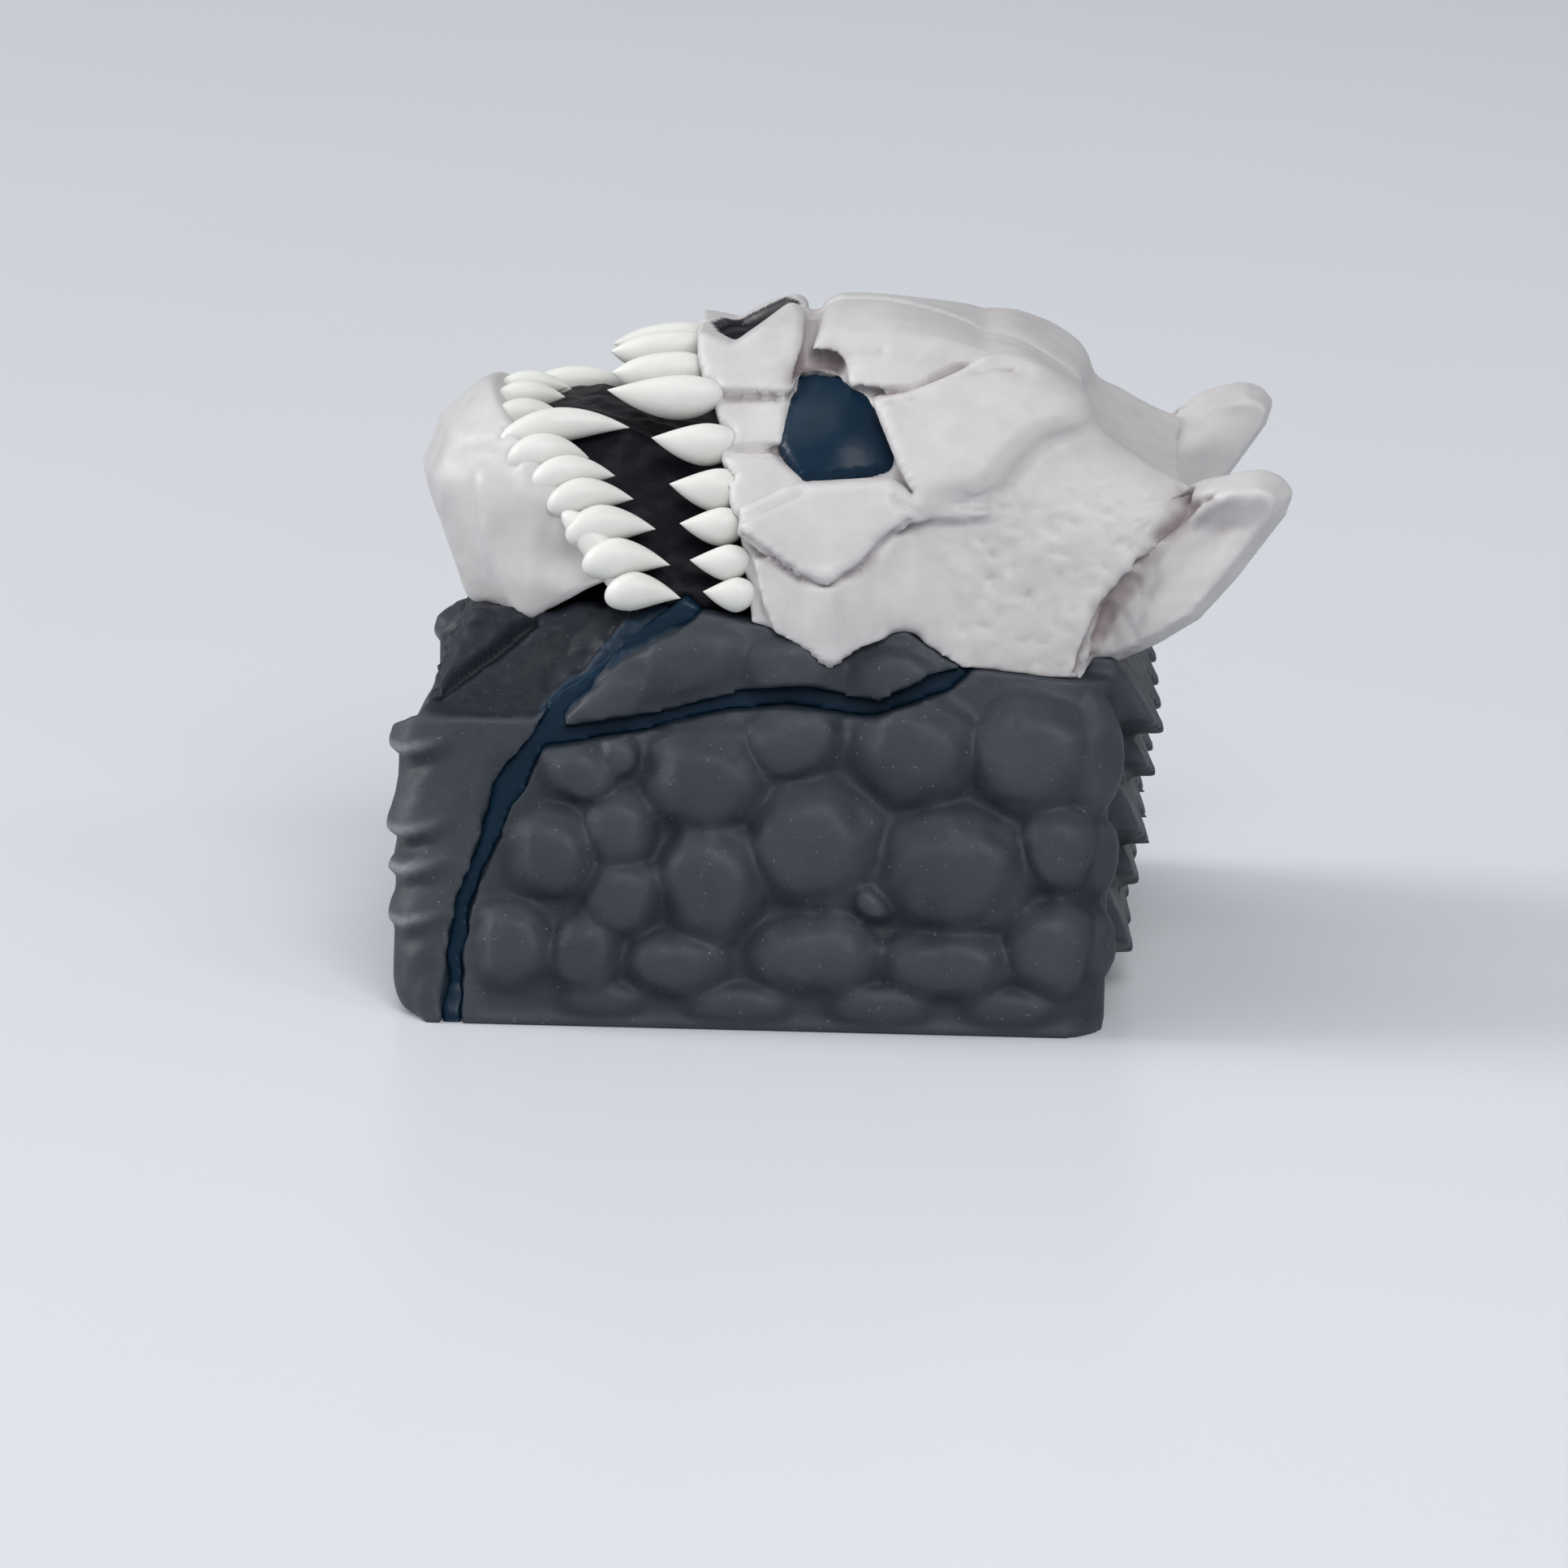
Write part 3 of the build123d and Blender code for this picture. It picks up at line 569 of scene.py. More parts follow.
def shell_resin():
    """Dark grey satin resin with dust specks, darker on the rock, with painted shade in its hollows and in
    the valleys between its scales, and painted highlights on its crests and on the lips of its folds.
    """
    material, nodes, links, shader = new_finish("shell_resin")
    coordinates = nodes.new("ShaderNodeTexCoord")
    cloud = speckle(nodes, links, coordinates, 0.35)
    colour = tones(nodes, links, cloud, (0.3, (0.020, 0.024, 0.033)), (0.7, (0.032, 0.037, 0.048)))
    # painted shade: the hollows, measured by the cavity, are darkened as if shadowed
    hollow = between(nodes, links, stored(nodes, "cavity"), 0.0, 0.14, 0.75)
    colour = blended(nodes, links, "MIX", hollow, colour, (0.013, 0.015, 0.020))
    # painted shade: the valleys between scales are darkened as if shadowed
    valley_shade = between(nodes, links, stored(nodes, "valley_shade"), 0.0, 1.0, 0.15)
    colour = blended(nodes, links, "MIX", valley_shade, colour, (0.010, 0.012, 0.018))
    # painted highlight: the crests, where the cavity is below 0, are lightened as if lit
    crest = between(nodes, links, stored(nodes, "cavity"), -0.02, -0.14)
    colour = blended(nodes, links, "ADD", crest, colour, (0.014, 0.016, 0.019))
    rock = between(nodes, links, stored(nodes, "rock"), 0.0, 1.0, 0.85)
    colour = blended(nodes, links, "MIX", rock, colour, (0.010, 0.012, 0.018))
    shine = blended(nodes, links, "MIX", rock, (0.33, 0.33, 0.33), (0.16, 0.16, 0.16))
    # the specular is lowered in the valleys too, along with their painted shade
    sunk = between(nodes, links, stored(nodes, "valley_shade"), 0.0, 1.0, 0.4)
    shine = blended(nodes, links, "MIX", sunk, shine, (0.06, 0.06, 0.06))
    links.new(shine, shader.inputs["Specular IOR Level"])
    crack = between(nodes, links, stored(nodes, "crack"), 0.0, 1.0, 0.9)
    colour = blended(nodes, links, "MIX", crack, colour, (0.006, 0.019, 0.037))
    # painted highlight: the fold lips are lightened as if light caught them
    lip_highlight = between(nodes, links, stored(nodes, "lip_highlight"), 0.0, 1.0, 0.8)
    colour = blended(nodes, links, "ADD", lip_highlight, colour, (0.19, 0.20, 0.22))
    dust = between(nodes, links, speckle(nodes, links, coordinates, 9.0, 2.0), 0.69, 0.78, 0.4)
    colour = blended(nodes, links, "MIX", dust, colour, (0.30, 0.32, 0.35))
    links.new(colour, shader.inputs["Base Color"])
    patches = greys(nodes, links, speckle(nodes, links, coordinates, 1.6), (0.3, 0.46), (0.75, 0.64))
    links.new(patches, shader.inputs["Roughness"])
    raise_bumps(nodes, links, shader, speckle(nodes, links, coordinates, 6.0, 6.0, 0.7), 0.25, 0.06)
    return material


def bone_resin():
    """Pale lavender bone resin: cloudy, finely pitted, with painted mauve shade in its hollows, creases,
    grooves and pits and a painted highlight on its crests.
    """
    material, nodes, links, shader = new_finish("bone_resin")
    coordinates = nodes.new("ShaderNodeTexCoord")
    cloud = speckle(nodes, links, coordinates, 0.45, 5.0)
    colour = tones(nodes, links, cloud, (0.28, (0.435, 0.413, 0.42)), (0.5, (0.48, 0.465, 0.466)),
                   (0.72, (0.515, 0.505, 0.50)))
    mottle = tones(nodes, links, speckle(nodes, links, coordinates, 1.6), (0.35, (0.965, 0.96, 0.96)),
                   (0.65, (1.03, 1.03, 1.03)))
    colour = blended(nodes, links, "MULTIPLY", 1.0, colour, mottle)
    # painted mauve shade in the bone's hollows and creases, measured by the cavity
    hollow = between(nodes, links, stored(nodes, "cavity"), 0.012, 0.11, 0.9)
    colour = blended(nodes, links, "MIX", hollow, colour, (0.25, 0.21, 0.22))
    # painted mauve shade in the horn grooves, the brow pit and the gap between nose and forehead
    mauve_shade = between(nodes, links, stored(nodes, "mauve_shade"), 0.0, 1.0, 0.9)
    colour = blended(nodes, links, "MIX", mauve_shade, colour, (0.19, 0.15, 0.155))
    # painted highlight: the bone's crests, where the cavity is below 0, are lightened as if lit
    crest = between(nodes, links, stored(nodes, "cavity"), -0.02, -0.12)
    colour = blended(nodes, links, "MIX", crest, colour, (0.56, 0.55, 0.55))
    colour = blended(nodes, links, "MIX", stored(nodes, "nostril"), colour, (0.008, 0.009, 0.012))
    links.new(colour, shader.inputs["Base Color"])
    patches = greys(nodes, links, speckle(nodes, links, coordinates, 1.2), (0.3, 0.42), (0.75, 0.60))
    links.new(patches, shader.inputs["Roughness"])
    raise_bumps(nodes, links, shader, speckle(nodes, links, coordinates, 2.6, 6.0, 0.65), 0.15, 0.06)
    return material


def tooth_resin():
    """White satin resin of the teeth, faintly cloudy."""
    material, nodes, links, shader = new_finish("tooth_resin", Roughness=0.46)
    coordinates = nodes.new("ShaderNodeTexCoord")
    cloud = speckle(nodes, links, coordinates, 0.8)
    colour = tones(nodes, links, cloud, (0.3, (0.60, 0.60, 0.565)), (0.7, (0.66, 0.66, 0.63)))
    links.new(colour, shader.inputs["Base Color"])
    raise_bumps(nodes, links, shader, speckle(nodes, links, coordinates, 3.0), 0.12, 0.05)
    return material


def navy_resin():
    """Deep navy gloss resin of the eyes and cracks."""
    material, nodes, links, shader = new_finish("navy_resin", Roughness=0.3, Specular_IOR_Level=0.13)
    coordinates = nodes.new("ShaderNodeTexCoord")
    cloud = speckle(nodes, links, coordinates, 0.5)
    colour = tones(nodes, links, cloud, (0.3, (0.003, 0.013, 0.027)), (0.7, (0.006, 0.022, 0.044)))
    links.new(colour, shader.inputs["Base Color"])
    raise_bumps(nodes, links, shader, speckle(nodes, links, coordinates, 2.0), 0.15, 0.06)
    return material


def black_resin():
    """Dull black resin inside the mouth and nose."""
    material, nodes, links, shader = new_finish("black_resin", Roughness=0.45, Specular_IOR_Level=0.07)
    coordinates = nodes.new("ShaderNodeTexCoord")
    cloud = speckle(nodes, links, coordinates, 0.9)
    colour = tones(nodes, links, cloud, (0.3, (0.003, 0.0035, 0.005)), (0.7, (0.007, 0.008, 0.011)))
    links.new(colour, shader.inputs["Base Color"])
    raise_bumps(nodes, links, shader, speckle(nodes, links, coordinates, 1.5), 0.25, 0.15)
    return material


def table_top():
    """Pale blue-grey table with a soft sheen."""
    material, nodes, links, shader = new_finish("table_top", Roughness=0.3)
    coordinates = nodes.new("ShaderNodeTexCoord")
    cloud = speckle(nodes, links, coordinates, 0.01)
    colour = tones(nodes, links, cloud, (0.3, (0.65, 0.67, 0.705)), (0.7, (0.68, 0.70, 0.735)))
    links.new(colour, shader.inputs["Base Color"])
    return material


# Base


def unrolled(places):
    """Walls of the cap with their rounded corners rolled out: place along, stand above the wall, way out."""
    x, y, z = places.T
    ahead = np.sign(x) * np.maximum(np.abs(x) - (CAP_HALF - CAP_CORNER), 0)
    beside = np.maximum(np.abs(y) - (CAP_HALF - FLANK_SLOPE * z - CAP_CORNER), 1e-6)
    turn = np.arctan2(ahead, beside)
    along = np.clip(x, CAP_CORNER - CAP_HALF, CAP_HALF - CAP_CORNER) + CAP_CORNER * turn
    stand = np.hypot(ahead, beside) - CAP_CORNER
    sideways = np.sign(y) * np.cos(turn) * cos(FLANK_LEAN)
    out = np.stack([np.sin(turn), sideways, np.cos(turn) * sin(FLANK_LEAN)])
    return along, stand, out.T


def pebble_relief(along, z):
    """Height of the overlapping scales above a flank."""
    heights = np.zeros((len(PEBBLES), len(along)))
    spots = np.stack([along, 0 * z, z], axis=1)
    wander = PEBBLE_WANDER * grain(spots, PEBBLE_WANDER_SIZE, seed=9.0, detail=2)
    for row, (px, pz, length, height, turn, rise) in enumerate(PEBBLES):
        c, s = cos(radians(turn)), sin(radians(turn))
        across = ((along - px) * c - (z - pz) * s) / length
        up = ((along - px) * s + (z - pz) * c) / height
        reach = np.hypot(across, up) / PEBBLE_SPREAD + wander
        dome = 1 - PEBBLE_DOME * np.minimum(reach, 1) ** 2
        heights[row] = PEBBLE_SHARE * rise * dome * (1 - ramp(reach, PEBBLE_SHOULDER, 1.0))
    top = heights.max(axis=0)
    return top - VALLEY_DEPTH * (1 - ramp(top, 0, VALLEY_RIM))


def above_fold(along, z, crest):
    """Height above a fold's crest, which climbs along the flank."""
    return z - crest - FOLD_CLIMB * np.maximum(along - FOLD_FULL, 0)


def fold_relief(along, z):
    """Height of the hanging folds round a front corner."""
    relief = np.zeros(len(along))
    for crest, rise, half in FOLDS:
        drop = above_fold(along, z, crest)
        drape = np.exp(-(np.maximum(drop, 0) / half) ** 2) * (1 - ramp(-drop, 0, FOLD_LIP))
        hollow = np.exp(-((drop + FOLD_HOLLOW_DROP * FOLD_LIP) / FOLD_LIP) ** 2)
        relief = relief + rise * (drape - FOLD_HOLLOW * hollow)
    return relief * ramp(along, FOLD_START, FOLD_FULL)


def fold_lips(along, z):
    """Share of each vertex that lies on a fold's lip, where a highlight is painted as if light caught it."""
    lip_highlight = np.zeros(len(along))
    for crest, _, _ in FOLDS:
        drop = above_fold(along, z, crest)
        lip_highlight = np.maximum(lip_highlight, np.exp(-((drop - LIP_ABOVE) / LIP_WIDTH) ** 2))
    return lip_highlight * ramp(along, FOLD_START, FOLD_FULL) ** 2


def thin_hollow(piece):
    """Thins out the vertices of the flat hollow under the cap."""
    places, _ = points_of(piece)
    x, y, z = places.T
    hidden = (np.abs(x) < HOLLOW_HALF) & (np.abs(y) < HOLLOW_HALF - FLANK_SLOPE * z) & (z < HOLLOW_TOP)
    group = piece.vertex_groups.new(name="hollow")
    group.add([int(index) for index in np.flatnonzero(hidden)], 1.0, "REPLACE")
    settle(piece, "DECIMATE", ratio=1 - HOLLOW_THINNED * hidden.mean(), vertex_group="hollow")
    piece.vertex_groups.clear()


def crack_wander(places):
    """Sideways drift of the cracks at each place."""
    return CRACK_DRIFT * grain(places, CRACK_DRIFT_SIZE, seed=21.0, detail=2)


def shaped_cracks():
    """Resin in the cracks, still on its straight course, with its foot drawn down and outward."""
    piece = shaped_plain("crack_inlay", "crack_fill", FILL_VOXEL, 1)
    places, _ = points_of(piece)
    lowered = places[:, 2] - CRACK_FOOT * ramp(places[:, 2], *CRACK_FOOT_FADE)
    places[:, 2] = np.maximum(lowered, TABLE_GAP)
    places[:, 1] += CRACK_FOOT_OUT * np.sign(places[:, 1]) * ramp(places[:, 2], *CRACK_FOOT_OUT_FADE)
    put(piece, places)
    return piece


def drift(piece):
    """Lets the resin in the cracks stray as their walls do."""
    places, _ = points_of(piece)
    places[:, 0] += crack_wander(places)
    put(piece, places)


def resin_gaps(piece, inlay):
    """Distance of each vertex from the resin in the cracks."""
    resin, _ = points_of(inlay)
    tree = KDTree(len(resin))
    for index, place in enumerate(resin):
        tree.insert(place, index)
    tree.balance()
    places, _ = points_of(piece)
    return np.array([tree.find(place)[2] for place in places])


def shape_walls(piece, gaps):
    """Raises scales and folds, sets the shingles out and rounds the front's foot; stores where shade is
    painted in the valleys and where a highlight is painted on the fold lips.
    """
    places, normals = points_of(piece)
    z = places[:, 2]
    along, stand, out = unrolled(places)
    outward = ((normals * out).sum(axis=1) > WALL_FACING) | ((gaps > CRACK_CLEAR) & (z < WALL_TOP))
    on_wall = (stand > WALL_SKIN) & outward & (z > WALL_FOOT) & (np.abs(places[:, 1]) > WALL_INNER)
    pebbles = pebble_relief(along, z)
    scaled = ramp(along, *SCALES_START) * ramp(z, *SCALES_FOOT)
    relief = pebbles * scaled + fold_relief(along, z)
    weight = on_wall * ramp(np.abs(along), *WALL_END)
    low = 1 - ramp(pebbles, 0.0, VALLEY_TOP)
    # painted shade in the low places between the scales
    keep_value(piece, "valley_shade", weight * scaled * ramp(z, *VALLEY_FADE) * low)
    # painted highlight on the lips of the folds
    keep_value(piece, "lip_highlight", weight * fold_lips(along, z))
    places = places + out * ((relief - stand) * weight)[:, None]
    places[:, 0] += SHINGLE_OUT * ramp(places[:, 0], *SHINGLE_FACE) * ramp(z, *SHINGLE_FOOT)
    below = np.clip(1 - z / FRONT_FOOT_TOP, 0, 1)
    places[:, 0] += FRONT_FOOT * (1 - np.sqrt(1 - below ** 2)) * ramp(places[:, 0], *FRONT_FACE)
    put(piece, places)


def break_rock(piece):
    """Breaks up the rock under the jaw; gives each vertex its share of rock."""
    places, normals = points_of(piece)
    x, y, z = places.T
    _, stand, _ = unrolled(places)
    rock = ramp(z, *ROCK_BOTTOM) * ramp(stand, *ROCK_INSIDE) * ramp(x, *ROCK_REAR)
    swell = rock * np.exp(-((x - ROCK_SWELL) / ROCK_SWELL_WIDTH) ** 2) * ramp(z, *ROCK_SWELL_FADE)
    lift = np.stack([0 * x, ROCK_SWELL_OUT * np.sign(y), 0 * x + ROCK_SWELL_UP], axis=1)
    places = places + lift * swell[:, None]
    front = np.interp(z, *np.array(ROCK_FRONT).T)
    places[:, 0] = np.where(rock > 0, np.maximum(places[:, 0], front), places[:, 0])
    picked = np.flatnonzero(rock > 0)
    spots = places[picked]
    waves = ROCK_WAVE * grain(spots, ROCK_WAVE_SIZE, seed=3.0)
    grit = ROCK_GRIT * np.maximum(grain(spots, ROCK_GRIT_SIZE, seed=7.0), 0)
    rough = np.zeros(len(x))
    rough[picked] = waves + grit
    for line, width, depth in CREVICES:
        rough -= depth * along_line(x, z, line, width)
    put(piece, places + normals * (rough * rock)[:, None])
    return rock


def shaped_base(inlay):
    """Grey cap body with pebble scales, folds, shingles and broken rock."""
    piece = clay("base", "base_shell", SHELL_VOXEL)
    thin_hollow(piece)
    gaps = resin_gaps(piece, inlay)
    shape_walls(piece, gaps)
    smooth(piece, 3)
    places, _ = points_of(piece)
    smooth(piece, ROCK_FRONT_TIMES, ramp(places[:, 0], *ROCK_FRONT_X) * ramp(places[:, 2], *ROCK_FRONT_Z))
    smooth(piece, 3, ramp(places[:, 0], *SHINGLE_RUBBED))
    keep_value(piece, "rock", break_rock(piece))
    smooth(piece, 1)
    keep_value(piece, "crack", ramp(gaps, CRACK_STAIN, 0.5 * CRACK_STAIN))
    places, _ = points_of(piece)
    near = ramp(gaps, *CRACK_PULL)
    picked = np.flatnonzero(near > 0)
    places[picked, 0] += near[picked] * crack_wander(places[picked])
    put(piece, places)
    keep_cavity(piece, SHELL_CAVITY)
    return piece


# Head


def raise_plates(piece):
    """Raises the skull's plates and rubs down the edges that fade into the bone."""
    places, _ = points_of(piece)
    for height, outline in PLATES:
        push(piece, height * inside(places[:, 0], places[:, 2] - CROWN, outline))
    smooth(piece, 1)
    for line, reach, times in FADES:
        places, _ = points_of(piece)
        gap = from_line(places[:, 0], places[:, 2] - CROWN, line)
        smooth(piece, times, ramp(gap, reach, FADE_CORE * reach))
    places, _ = points_of(piece)
    gap = from_line(places[:, 0], places[:, 2] - CROWN, CROWN_FADE)
    weight = ramp(gap, *CROWN_FADE_REACH) * ramp(np.abs(places[:, 1]), *CROWN_FADE_WIDTH)
    smooth(piece, CROWN_FADE_TIMES, weight)


def seat_horns(piece):
    """Sinks the root of each horn behind the edge of its temple."""
    places, _ = points_of(piece)
    x, y, z = places.T
    rise = z - CROWN
    edge_x, edge_rise = np.array(HORN_EDGE).T
    past = x - np.interp(rise, edge_rise, edge_x)
    width = np.interp(rise, *np.array(TEMPLE_WIDTH).T)
    half = np.abs(y)
    beside = ramp(past, *TEMPLE_BESIDE) * (half > TEMPLE_INNER) * (past < 0)
    level = half + (np.minimum(half, width + TEMPLE_PLAY) - half) * beside
    depth = np.clip((level - HORN_INNER) / (HORN_OUTER - HORN_INNER), 0, 1)
    sunk = HORN_SUNK * ramp(past, *HORN_STEP) * (1 - ramp(past, 0.0, HORN_REACH))
    sunk = sunk * (1 - ramp(rise, *HORN_TOP))
    places[:, 1] = np.sign(y) * (level - sunk * depth)
    put(piece, places)
    edge = ramp(np.abs(past - EDGE_MIDDLE), *EDGE_RUBBED) * (half > HORN_INNER)
    away = np.hypot(past - CORNER_PAST, rise - CORNER_RISE)
    corner = ramp(away, *CORNER_RUBBED) * (past < CORNER_END) * (half > CORNER_INNER)
    smooth(piece, EDGE_TIMES, edge)
    smooth(piece, CORNER_TIMES, corner)


def nostril_walls(x, y, rise):
    """Weight of the walls inside the nasal opening, which the black resin has coated."""
    return ramp(inside(x, np.abs(y), NOSE_OUTLINE), *NOSE_COAT) * (rise > NOSE_FLOOR)


def temple_relief(places, sideways):
    """Waves and pits of the temples."""
    x, _, z = places.T
    rise = z - CROWN
    temple = ramp(x, *TEMPLE_FRONT) * ramp(x, *TEMPLE_REAR) * ramp(rise, *TEMPLE_TOP) * sideways
    waves = TEMPLE_WAVE * grain(places, TEMPLE_WAVE_SIZE, seed=11.0)
    pits = TEMPLE_PIT * np.minimum(grain(places, TEMPLE_PIT_SIZE, seed=17.0), 0)
    return temple * (waves + pits)


def carve_skull(piece):
    """Carves creases, grooves, pits and streaks; stores where mauve shade is painted and where the bone is
    coated.
    """
    places, normals = points_of(piece)
    x, y, z = places.T
    rise = z - CROWN
    half = np.abs(y)
    sideways = facing_side(normals, y)
    wander = grain(places, BONE_WANDER_SIZE, seed=5.0)
    groove = along_line(x, rise, HORN_EDGE, HORN_GROOVE_WIDTH, HORN_GROOVE_WANDER * wander)
    groove = groove * sideways * (half > HORN_GROOVE_INNER)
    pit = along_line(x, rise, BROW_PIT, BROW_PIT_WIDTH) * (half > BROW_PIT_INNER)
    ridge = along_line(x, rise, CHEEK_RIDGE, CHEEK_RIDGE_WIDTH) * sideways
    horn = ramp(x, *HORN_FADE) * sideways
    streaks = STREAK_DEPTH * np.sin(STREAK_WAVES * (rise - STREAK_SLOPE * x) + STREAK_WANDER * wander)
    creases = 0 * x
    for line, width, depth in CREASES:
        creases += depth * along_line(x, rise, line, width) * sideways
    relief = FACE_RELIEF * (ridge - pit) - HORN_GROOVE_DEPTH * groove - creases
    push(piece, relief + temple_relief(places, sideways) + horn * streaks)
    brow_gap = BROW_GAP_SHADE * along_line(x, rise, BROW_GAP, BROW_GAP_WIDTH) * (half > BROW_GAP_INNER)
    # mauve shade painted in the horn groove, the brow pit and the gap between nose and forehead
    keep_value(piece, "mauve_shade", np.maximum.reduce([groove, pit, brow_gap]))
    keep_value(piece, "nostril", nostril_walls(x, y, rise))


def shaped_skull():
    """Bone skull with softened plates, grooved horns and a pitted temple."""
    piece = clay("skull", "skull_bone", BONE_VOXEL)
    smooth(piece, 2)
    raise_plates(piece)
    seat_horns(piece)
    smooth(piece, 1)
    carve_skull(piece)
    smooth(piece, 1)
    keep_cavity(piece, BONE_CAVITY)
    return piece


def raise_sole(piece):
    """Lifts the lower edge of the jaw's rear part and cuts its rear end straight."""
    places, _ = points_of(piece)
    sole_x, sole_rise = np.array(JAW_SOLE).T
    sole = np.where(places[:, 0] > sole_x[0], CROWN + np.interp(places[:, 0], sole_x, sole_rise), 0)
    places[:, 2] = np.maximum(places[:, 2], sole)
    places[:, 0] = np.minimum(places[:, 0], JAW_REAR)
    put(piece, places)


def carve_jaw(piece):
    """Models the jaw's ridge and hollow, its chin and the lumps there; it has no painted mauve shade and no
    coat.
    """
    places, normals = points_of(piece)
    x, y, z = places.T
    rise = z - CROWN
    sideways = facing_side(normals, y)
    ridge = along_line(x, rise, JAW_RIDGE, JAW_RIDGE_WIDTH) * sideways
    chin = ramp(x, *CHIN_FRONT) * ramp(rise, *CHIN_TOP)
    lumps = 0 * x
    for (lump_x, lump_y, lump_rise), size, height in CHIN_LUMPS:
        away = (x - lump_x) ** 2 + (np.abs(y) - lump_y) ** 2 + (rise - lump_rise) ** 2
        lumps += height * np.exp(-away / size ** 2)
    hollow = np.exp(-((x - JAW_HOLLOW[0]) ** 2 + (rise - JAW_HOLLOW[1]) ** 2)) * sideways
    shape = JAW_SWELL + CHIN_RISE * chin + JAW_RIDGE_RISE * ridge - JAW_HOLLOW_DEPTH * hollow + lumps
    push(piece, shape + JAW_GRAIN * grain(places, JAW_GRAIN_SIZE, seed=4.0))
    keep_value(piece, "mauve_shade", 0 * x)
    keep_value(piece, "nostril", 0 * x)


def shaped_jaw():
    """Bone lower jaw, rounded, with a soft ridge, lumps at its chin and a raised sole."""
    piece = clay("lower_jaw", "jaw_bone", BONE_VOXEL)
    raise_sole(piece)
    smooth(piece, JAW_RUBBED)
    carve_jaw(piece)
    smooth(piece, 1)
    keep_cavity(piece, BONE_CAVITY)
    return piece


def tooth_blank(taper):
    """One tooth along +Z from its rounded root at 0 to its point at 1, as wide as a radius of 1."""
    bpy.ops.object.select_all(action="DESELECT")
    bpy.ops.mesh.primitive_uv_sphere_add(segments=TOOTH_SEGMENTS, ring_count=TOOTH_RINGS, radius=1.0)
    blank = bpy.context.object
    places, _ = points_of(blank)
    share = (places[:, 2] + 1) / 2
    around = np.hypot(places[:, 0], places[:, 1]) + 1e-9
    root = np.sqrt(np.clip(1 - ((TOOTH_BELLY - share) / TOOTH_BELLY) ** 2, 0, 1))
    point = 1 - np.clip((share - TOOTH_BELLY) / (1 - TOOTH_BELLY), 0, 1) ** taper
    size = np.where(share < TOOTH_BELLY, root, point) / around
    put(blank, np.stack([places[:, 0] * size, places[:, 1] * size, share], axis=1))
    return blank


def lay_tooth(tooth, side, root, tip, radius, hook):
    """Lays a blank from its root to its tip on one side of the jaw, bowed by its hook."""
    start = Vector((root[0], side * (root[1] + TOOTH_PROUD), CROWN + root[2]))
    end = Vector((tip[0], side * tip[1], CROWN + tip[2]))
    start -= (end - start).normalized() * TOOTH_ROOT
    run = end - start
    across = run.cross(Vector((0, 0, 1))).normalized()
    up = across.cross(run).normalized()
    shape, _ = points_of(tooth)
    bow = hook * run.length * (shape[:, 2] ** HOOK_POWER - shape[:, 2])
    sideways = np.outer(shape[:, 0] * radius * TOOTH_THIN, across)
    upward = np.outer(shape[:, 1] * radius + bow, up)
    put(tooth, sideways + upward + np.outer(shape[:, 2], run) + np.array(start))


def tooth_row(name, teeth, hook):
    """Teeth of one jaw on both sides, joined."""
    copies = []
    for root, tip, radius, taper in teeth:
        for side in (-1, 1):
            tooth = tooth_blank(taper)
            lay_tooth(tooth, side, root, tip, radius, hook)
            copies.append(tooth)
    only(copies[0])
    for tooth in copies:
        tooth.select_set(True)
    bpy.ops.object.join()
    row = bpy.context.object
    row.name = name
    only(row)
    bpy.ops.object.mode_set(mode="EDIT")
    bpy.ops.mesh.select_all(action="SELECT")
    bpy.ops.mesh.normals_make_consistent(inside=False)
    bpy.ops.object.mode_set(mode="OBJECT")
    return row


def shaped_plain(node, name, voxel, times):
    """Smoothed copy of a node."""
    piece = clay(node, name, voxel)
    smooth(piece, times)
    return piece


def shaped_eyes():
    """Glossy eyes that fill their sockets and bulge a little."""
    piece = shaped_plain("eyes", "eye_pair", FINE_VOXEL, 3)
    places, _ = points_of(piece)
    away = np.hypot(places[:, 0] - EYE_CENTRE[0], places[:, 2] - CROWN - EYE_CENTRE[1])
    push(piece, EYE_FILL + EYE_BULGE * np.exp(-away ** 2))
    smooth(piece, 6)
    return piece


def shaped_lining():
    """Lumpy filling of the mouth and nose."""
    piece = shaped_plain("mouth_lining", "mouth_fill", DARK_VOXEL, 6)
    places, _ = points_of(piece)
    lumps = LINING_LUMP * grain(places, LINING_LUMP_SIZE, seed=8.0)
    push(piece, lumps * ramp(places[:, 0], *LINING_FADE))
    return piece


# Stage


def lay_table():
    """Plain table under the keycap."""
    bpy.ops.object.select_all(action="DESELECT")
    bpy.ops.mesh.primitive_plane_add(size=TABLE_SIZE * MM, location=(0, 0, 0))
    table = bpy.context.object
    table.name = "table"
    table.data.materials.append(table_top())


def soft_light(name, place, size, power):
    """Square white softbox at a place, turned to the keycap."""
    lamp = bpy.data.lights.new(name, "AREA")
    lamp.size = size * MM
    lamp.energy = power
    holder = bpy.data.objects.new(name, lamp)
    holder.location = Vector(place) * MM
    holder.rotation_euler = (Vector(LIGHT_AIM) - Vector(place)).to_track_quat("-Z", "Y").to_euler()
    bpy.context.scene.collection.objects.link(holder)


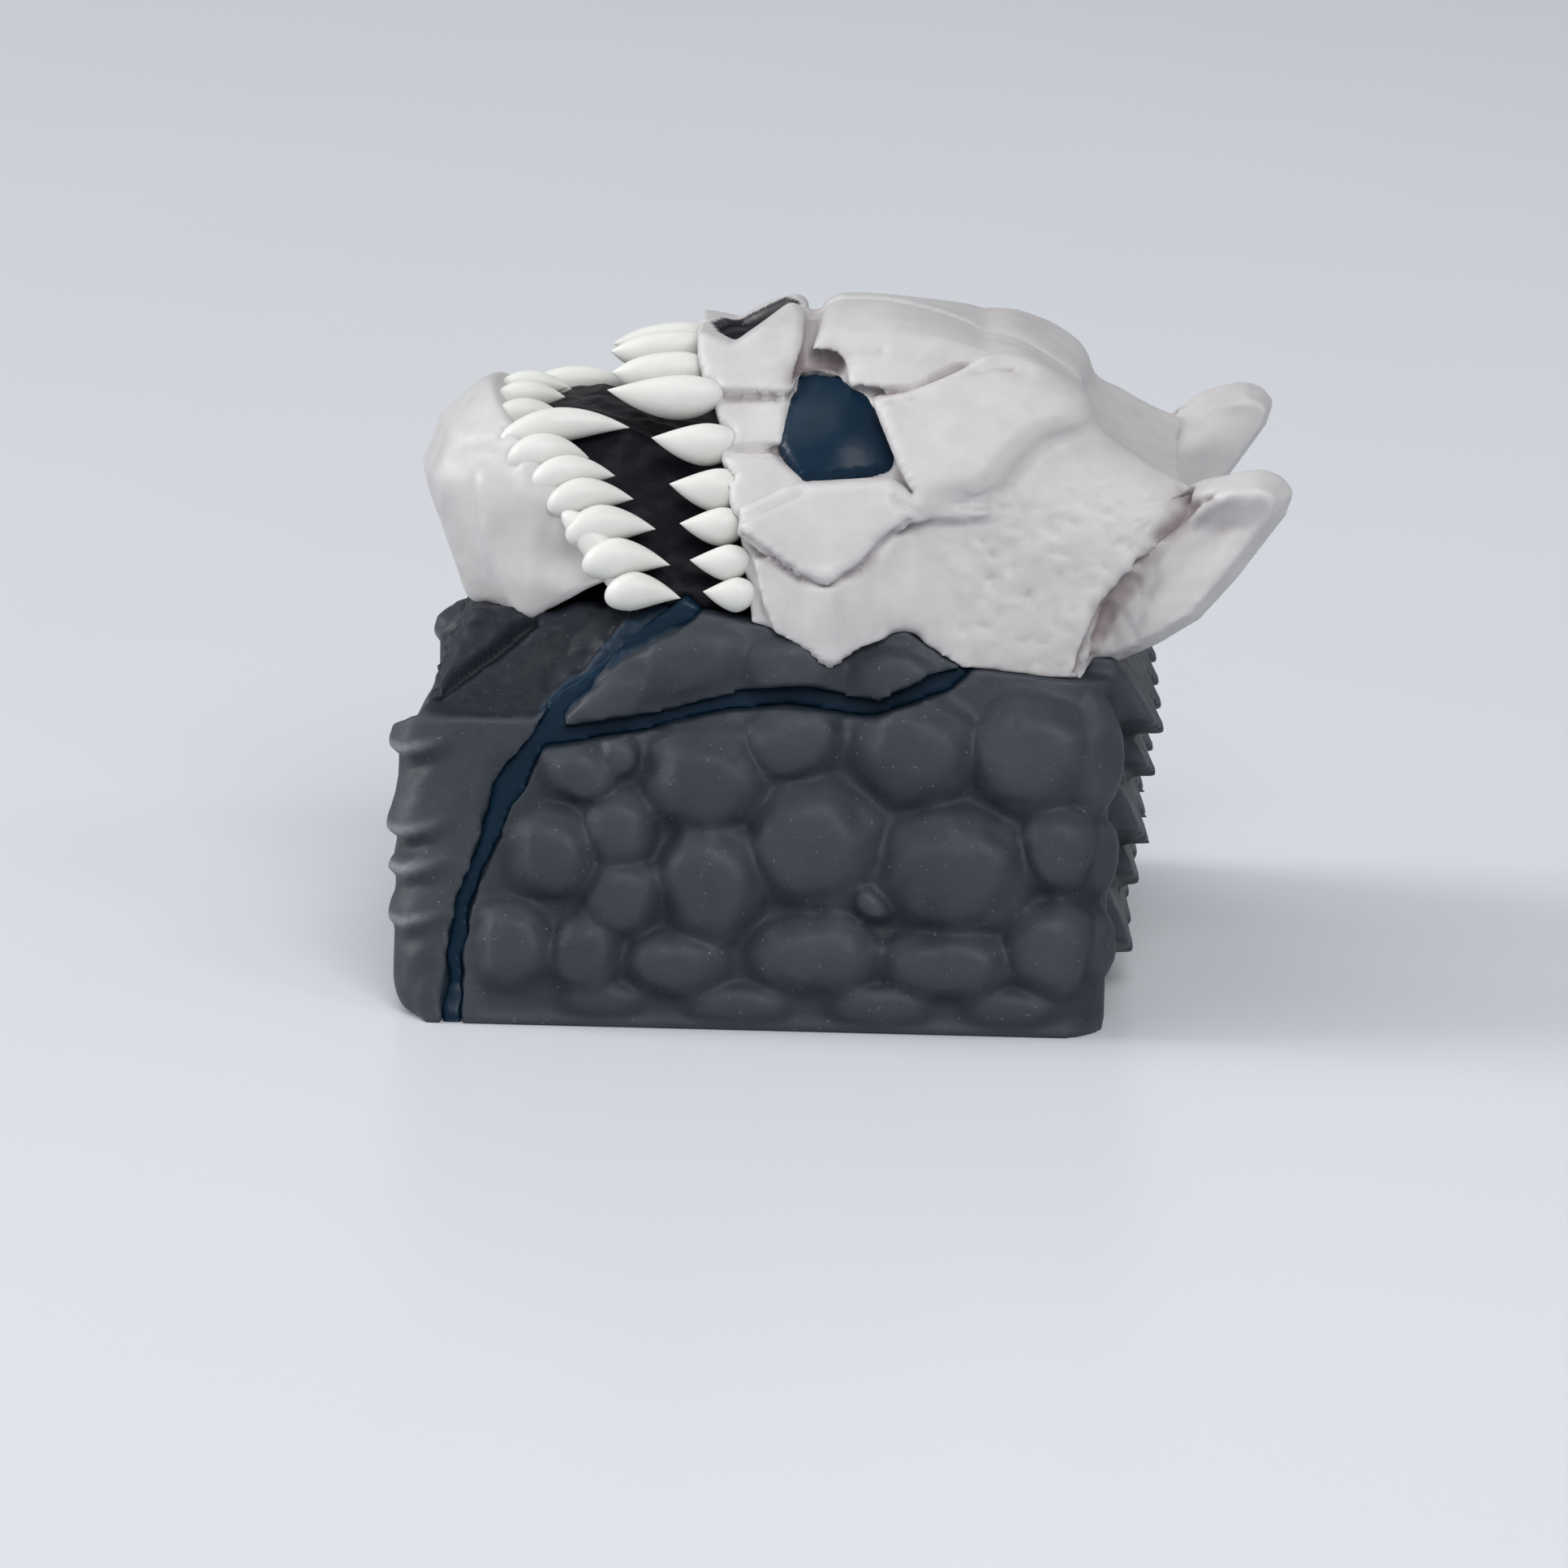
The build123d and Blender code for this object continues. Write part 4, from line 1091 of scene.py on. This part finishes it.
def light_room():
    """Even, slightly blue light from all round."""
    world = bpy.data.worlds.new("studio")
    bpy.context.scene.world = world
    world.use_nodes = True
    background = world.node_tree.nodes["Background"]
    background.inputs["Color"].default_value = ROOM_COLOUR
    background.inputs["Strength"].default_value = ROOM_STRENGTH


def photo_camera():
    """Camera that sees the keycap as the photograph does."""
    azimuth, elevation = radians(CAMERA_AZIMUTH), radians(CAMERA_ELEVATION)
    roll = radians(CAMERA_ROLL)
    back = Vector((sin(azimuth) * cos(elevation), -cos(azimuth) * cos(elevation), sin(elevation)))
    place = Vector(CAMERA_AIM) + back * CAMERA_DISTANCE
    level_right = (-back).cross(Vector((0, 0, 1))).normalized()
    level_up = level_right.cross(-back)
    right = level_right * cos(roll) + level_up * sin(roll)
    up = level_up * cos(roll) - level_right * sin(roll)
    lens = bpy.data.cameras.new("photo_camera")
    lens.sensor_width = SENSOR_MM
    lens.lens = FOCAL_PIXELS / PHOTO_PIXELS * SENSOR_MM
    lens.clip_start = CAMERA_NEAR * MM
    lens.clip_end = CAMERA_FAR * MM
    camera = bpy.data.objects.new("photo_camera", lens)
    bpy.context.scene.collection.objects.link(camera)
    turn = Matrix((right, up, back)).transposed().to_4x4()
    camera.matrix_world = Matrix.Translation(place * MM) @ turn
    bpy.context.scene.camera = camera


bone = bone_resin()
white = tooth_resin()
navy = navy_resin()
black = black_resin()
crack_fill = shaped_cracks()
base_shell = shaped_base(crack_fill)
drift(crack_fill)
hand_over(base_shell, shell_resin(), "shell", "base")
hand_over(shaped_skull(), bone, "bone", "skull")
hand_over(shaped_jaw(), bone, "bone", "lower_jaw")
hand_over(tooth_row("upper_tooth_row", UPPER_TEETH, UPPER_HOOK), white, "tooth", "upper_teeth")
hand_over(tooth_row("lower_tooth_row", LOWER_TEETH, LOWER_HOOK), white, "tooth", "lower_teeth")
hand_over(shaped_eyes(), navy, "navy", "eyes")
hand_over(crack_fill, navy, "navy", "crack_inlay")
hand_over(shaped_lining(), black, "black", "mouth_lining")

lay_table()
for light in LIGHTS:
    soft_light(*light)
light_room()
photo_camera()
bpy.context.scene.view_settings.view_transform = "Standard"
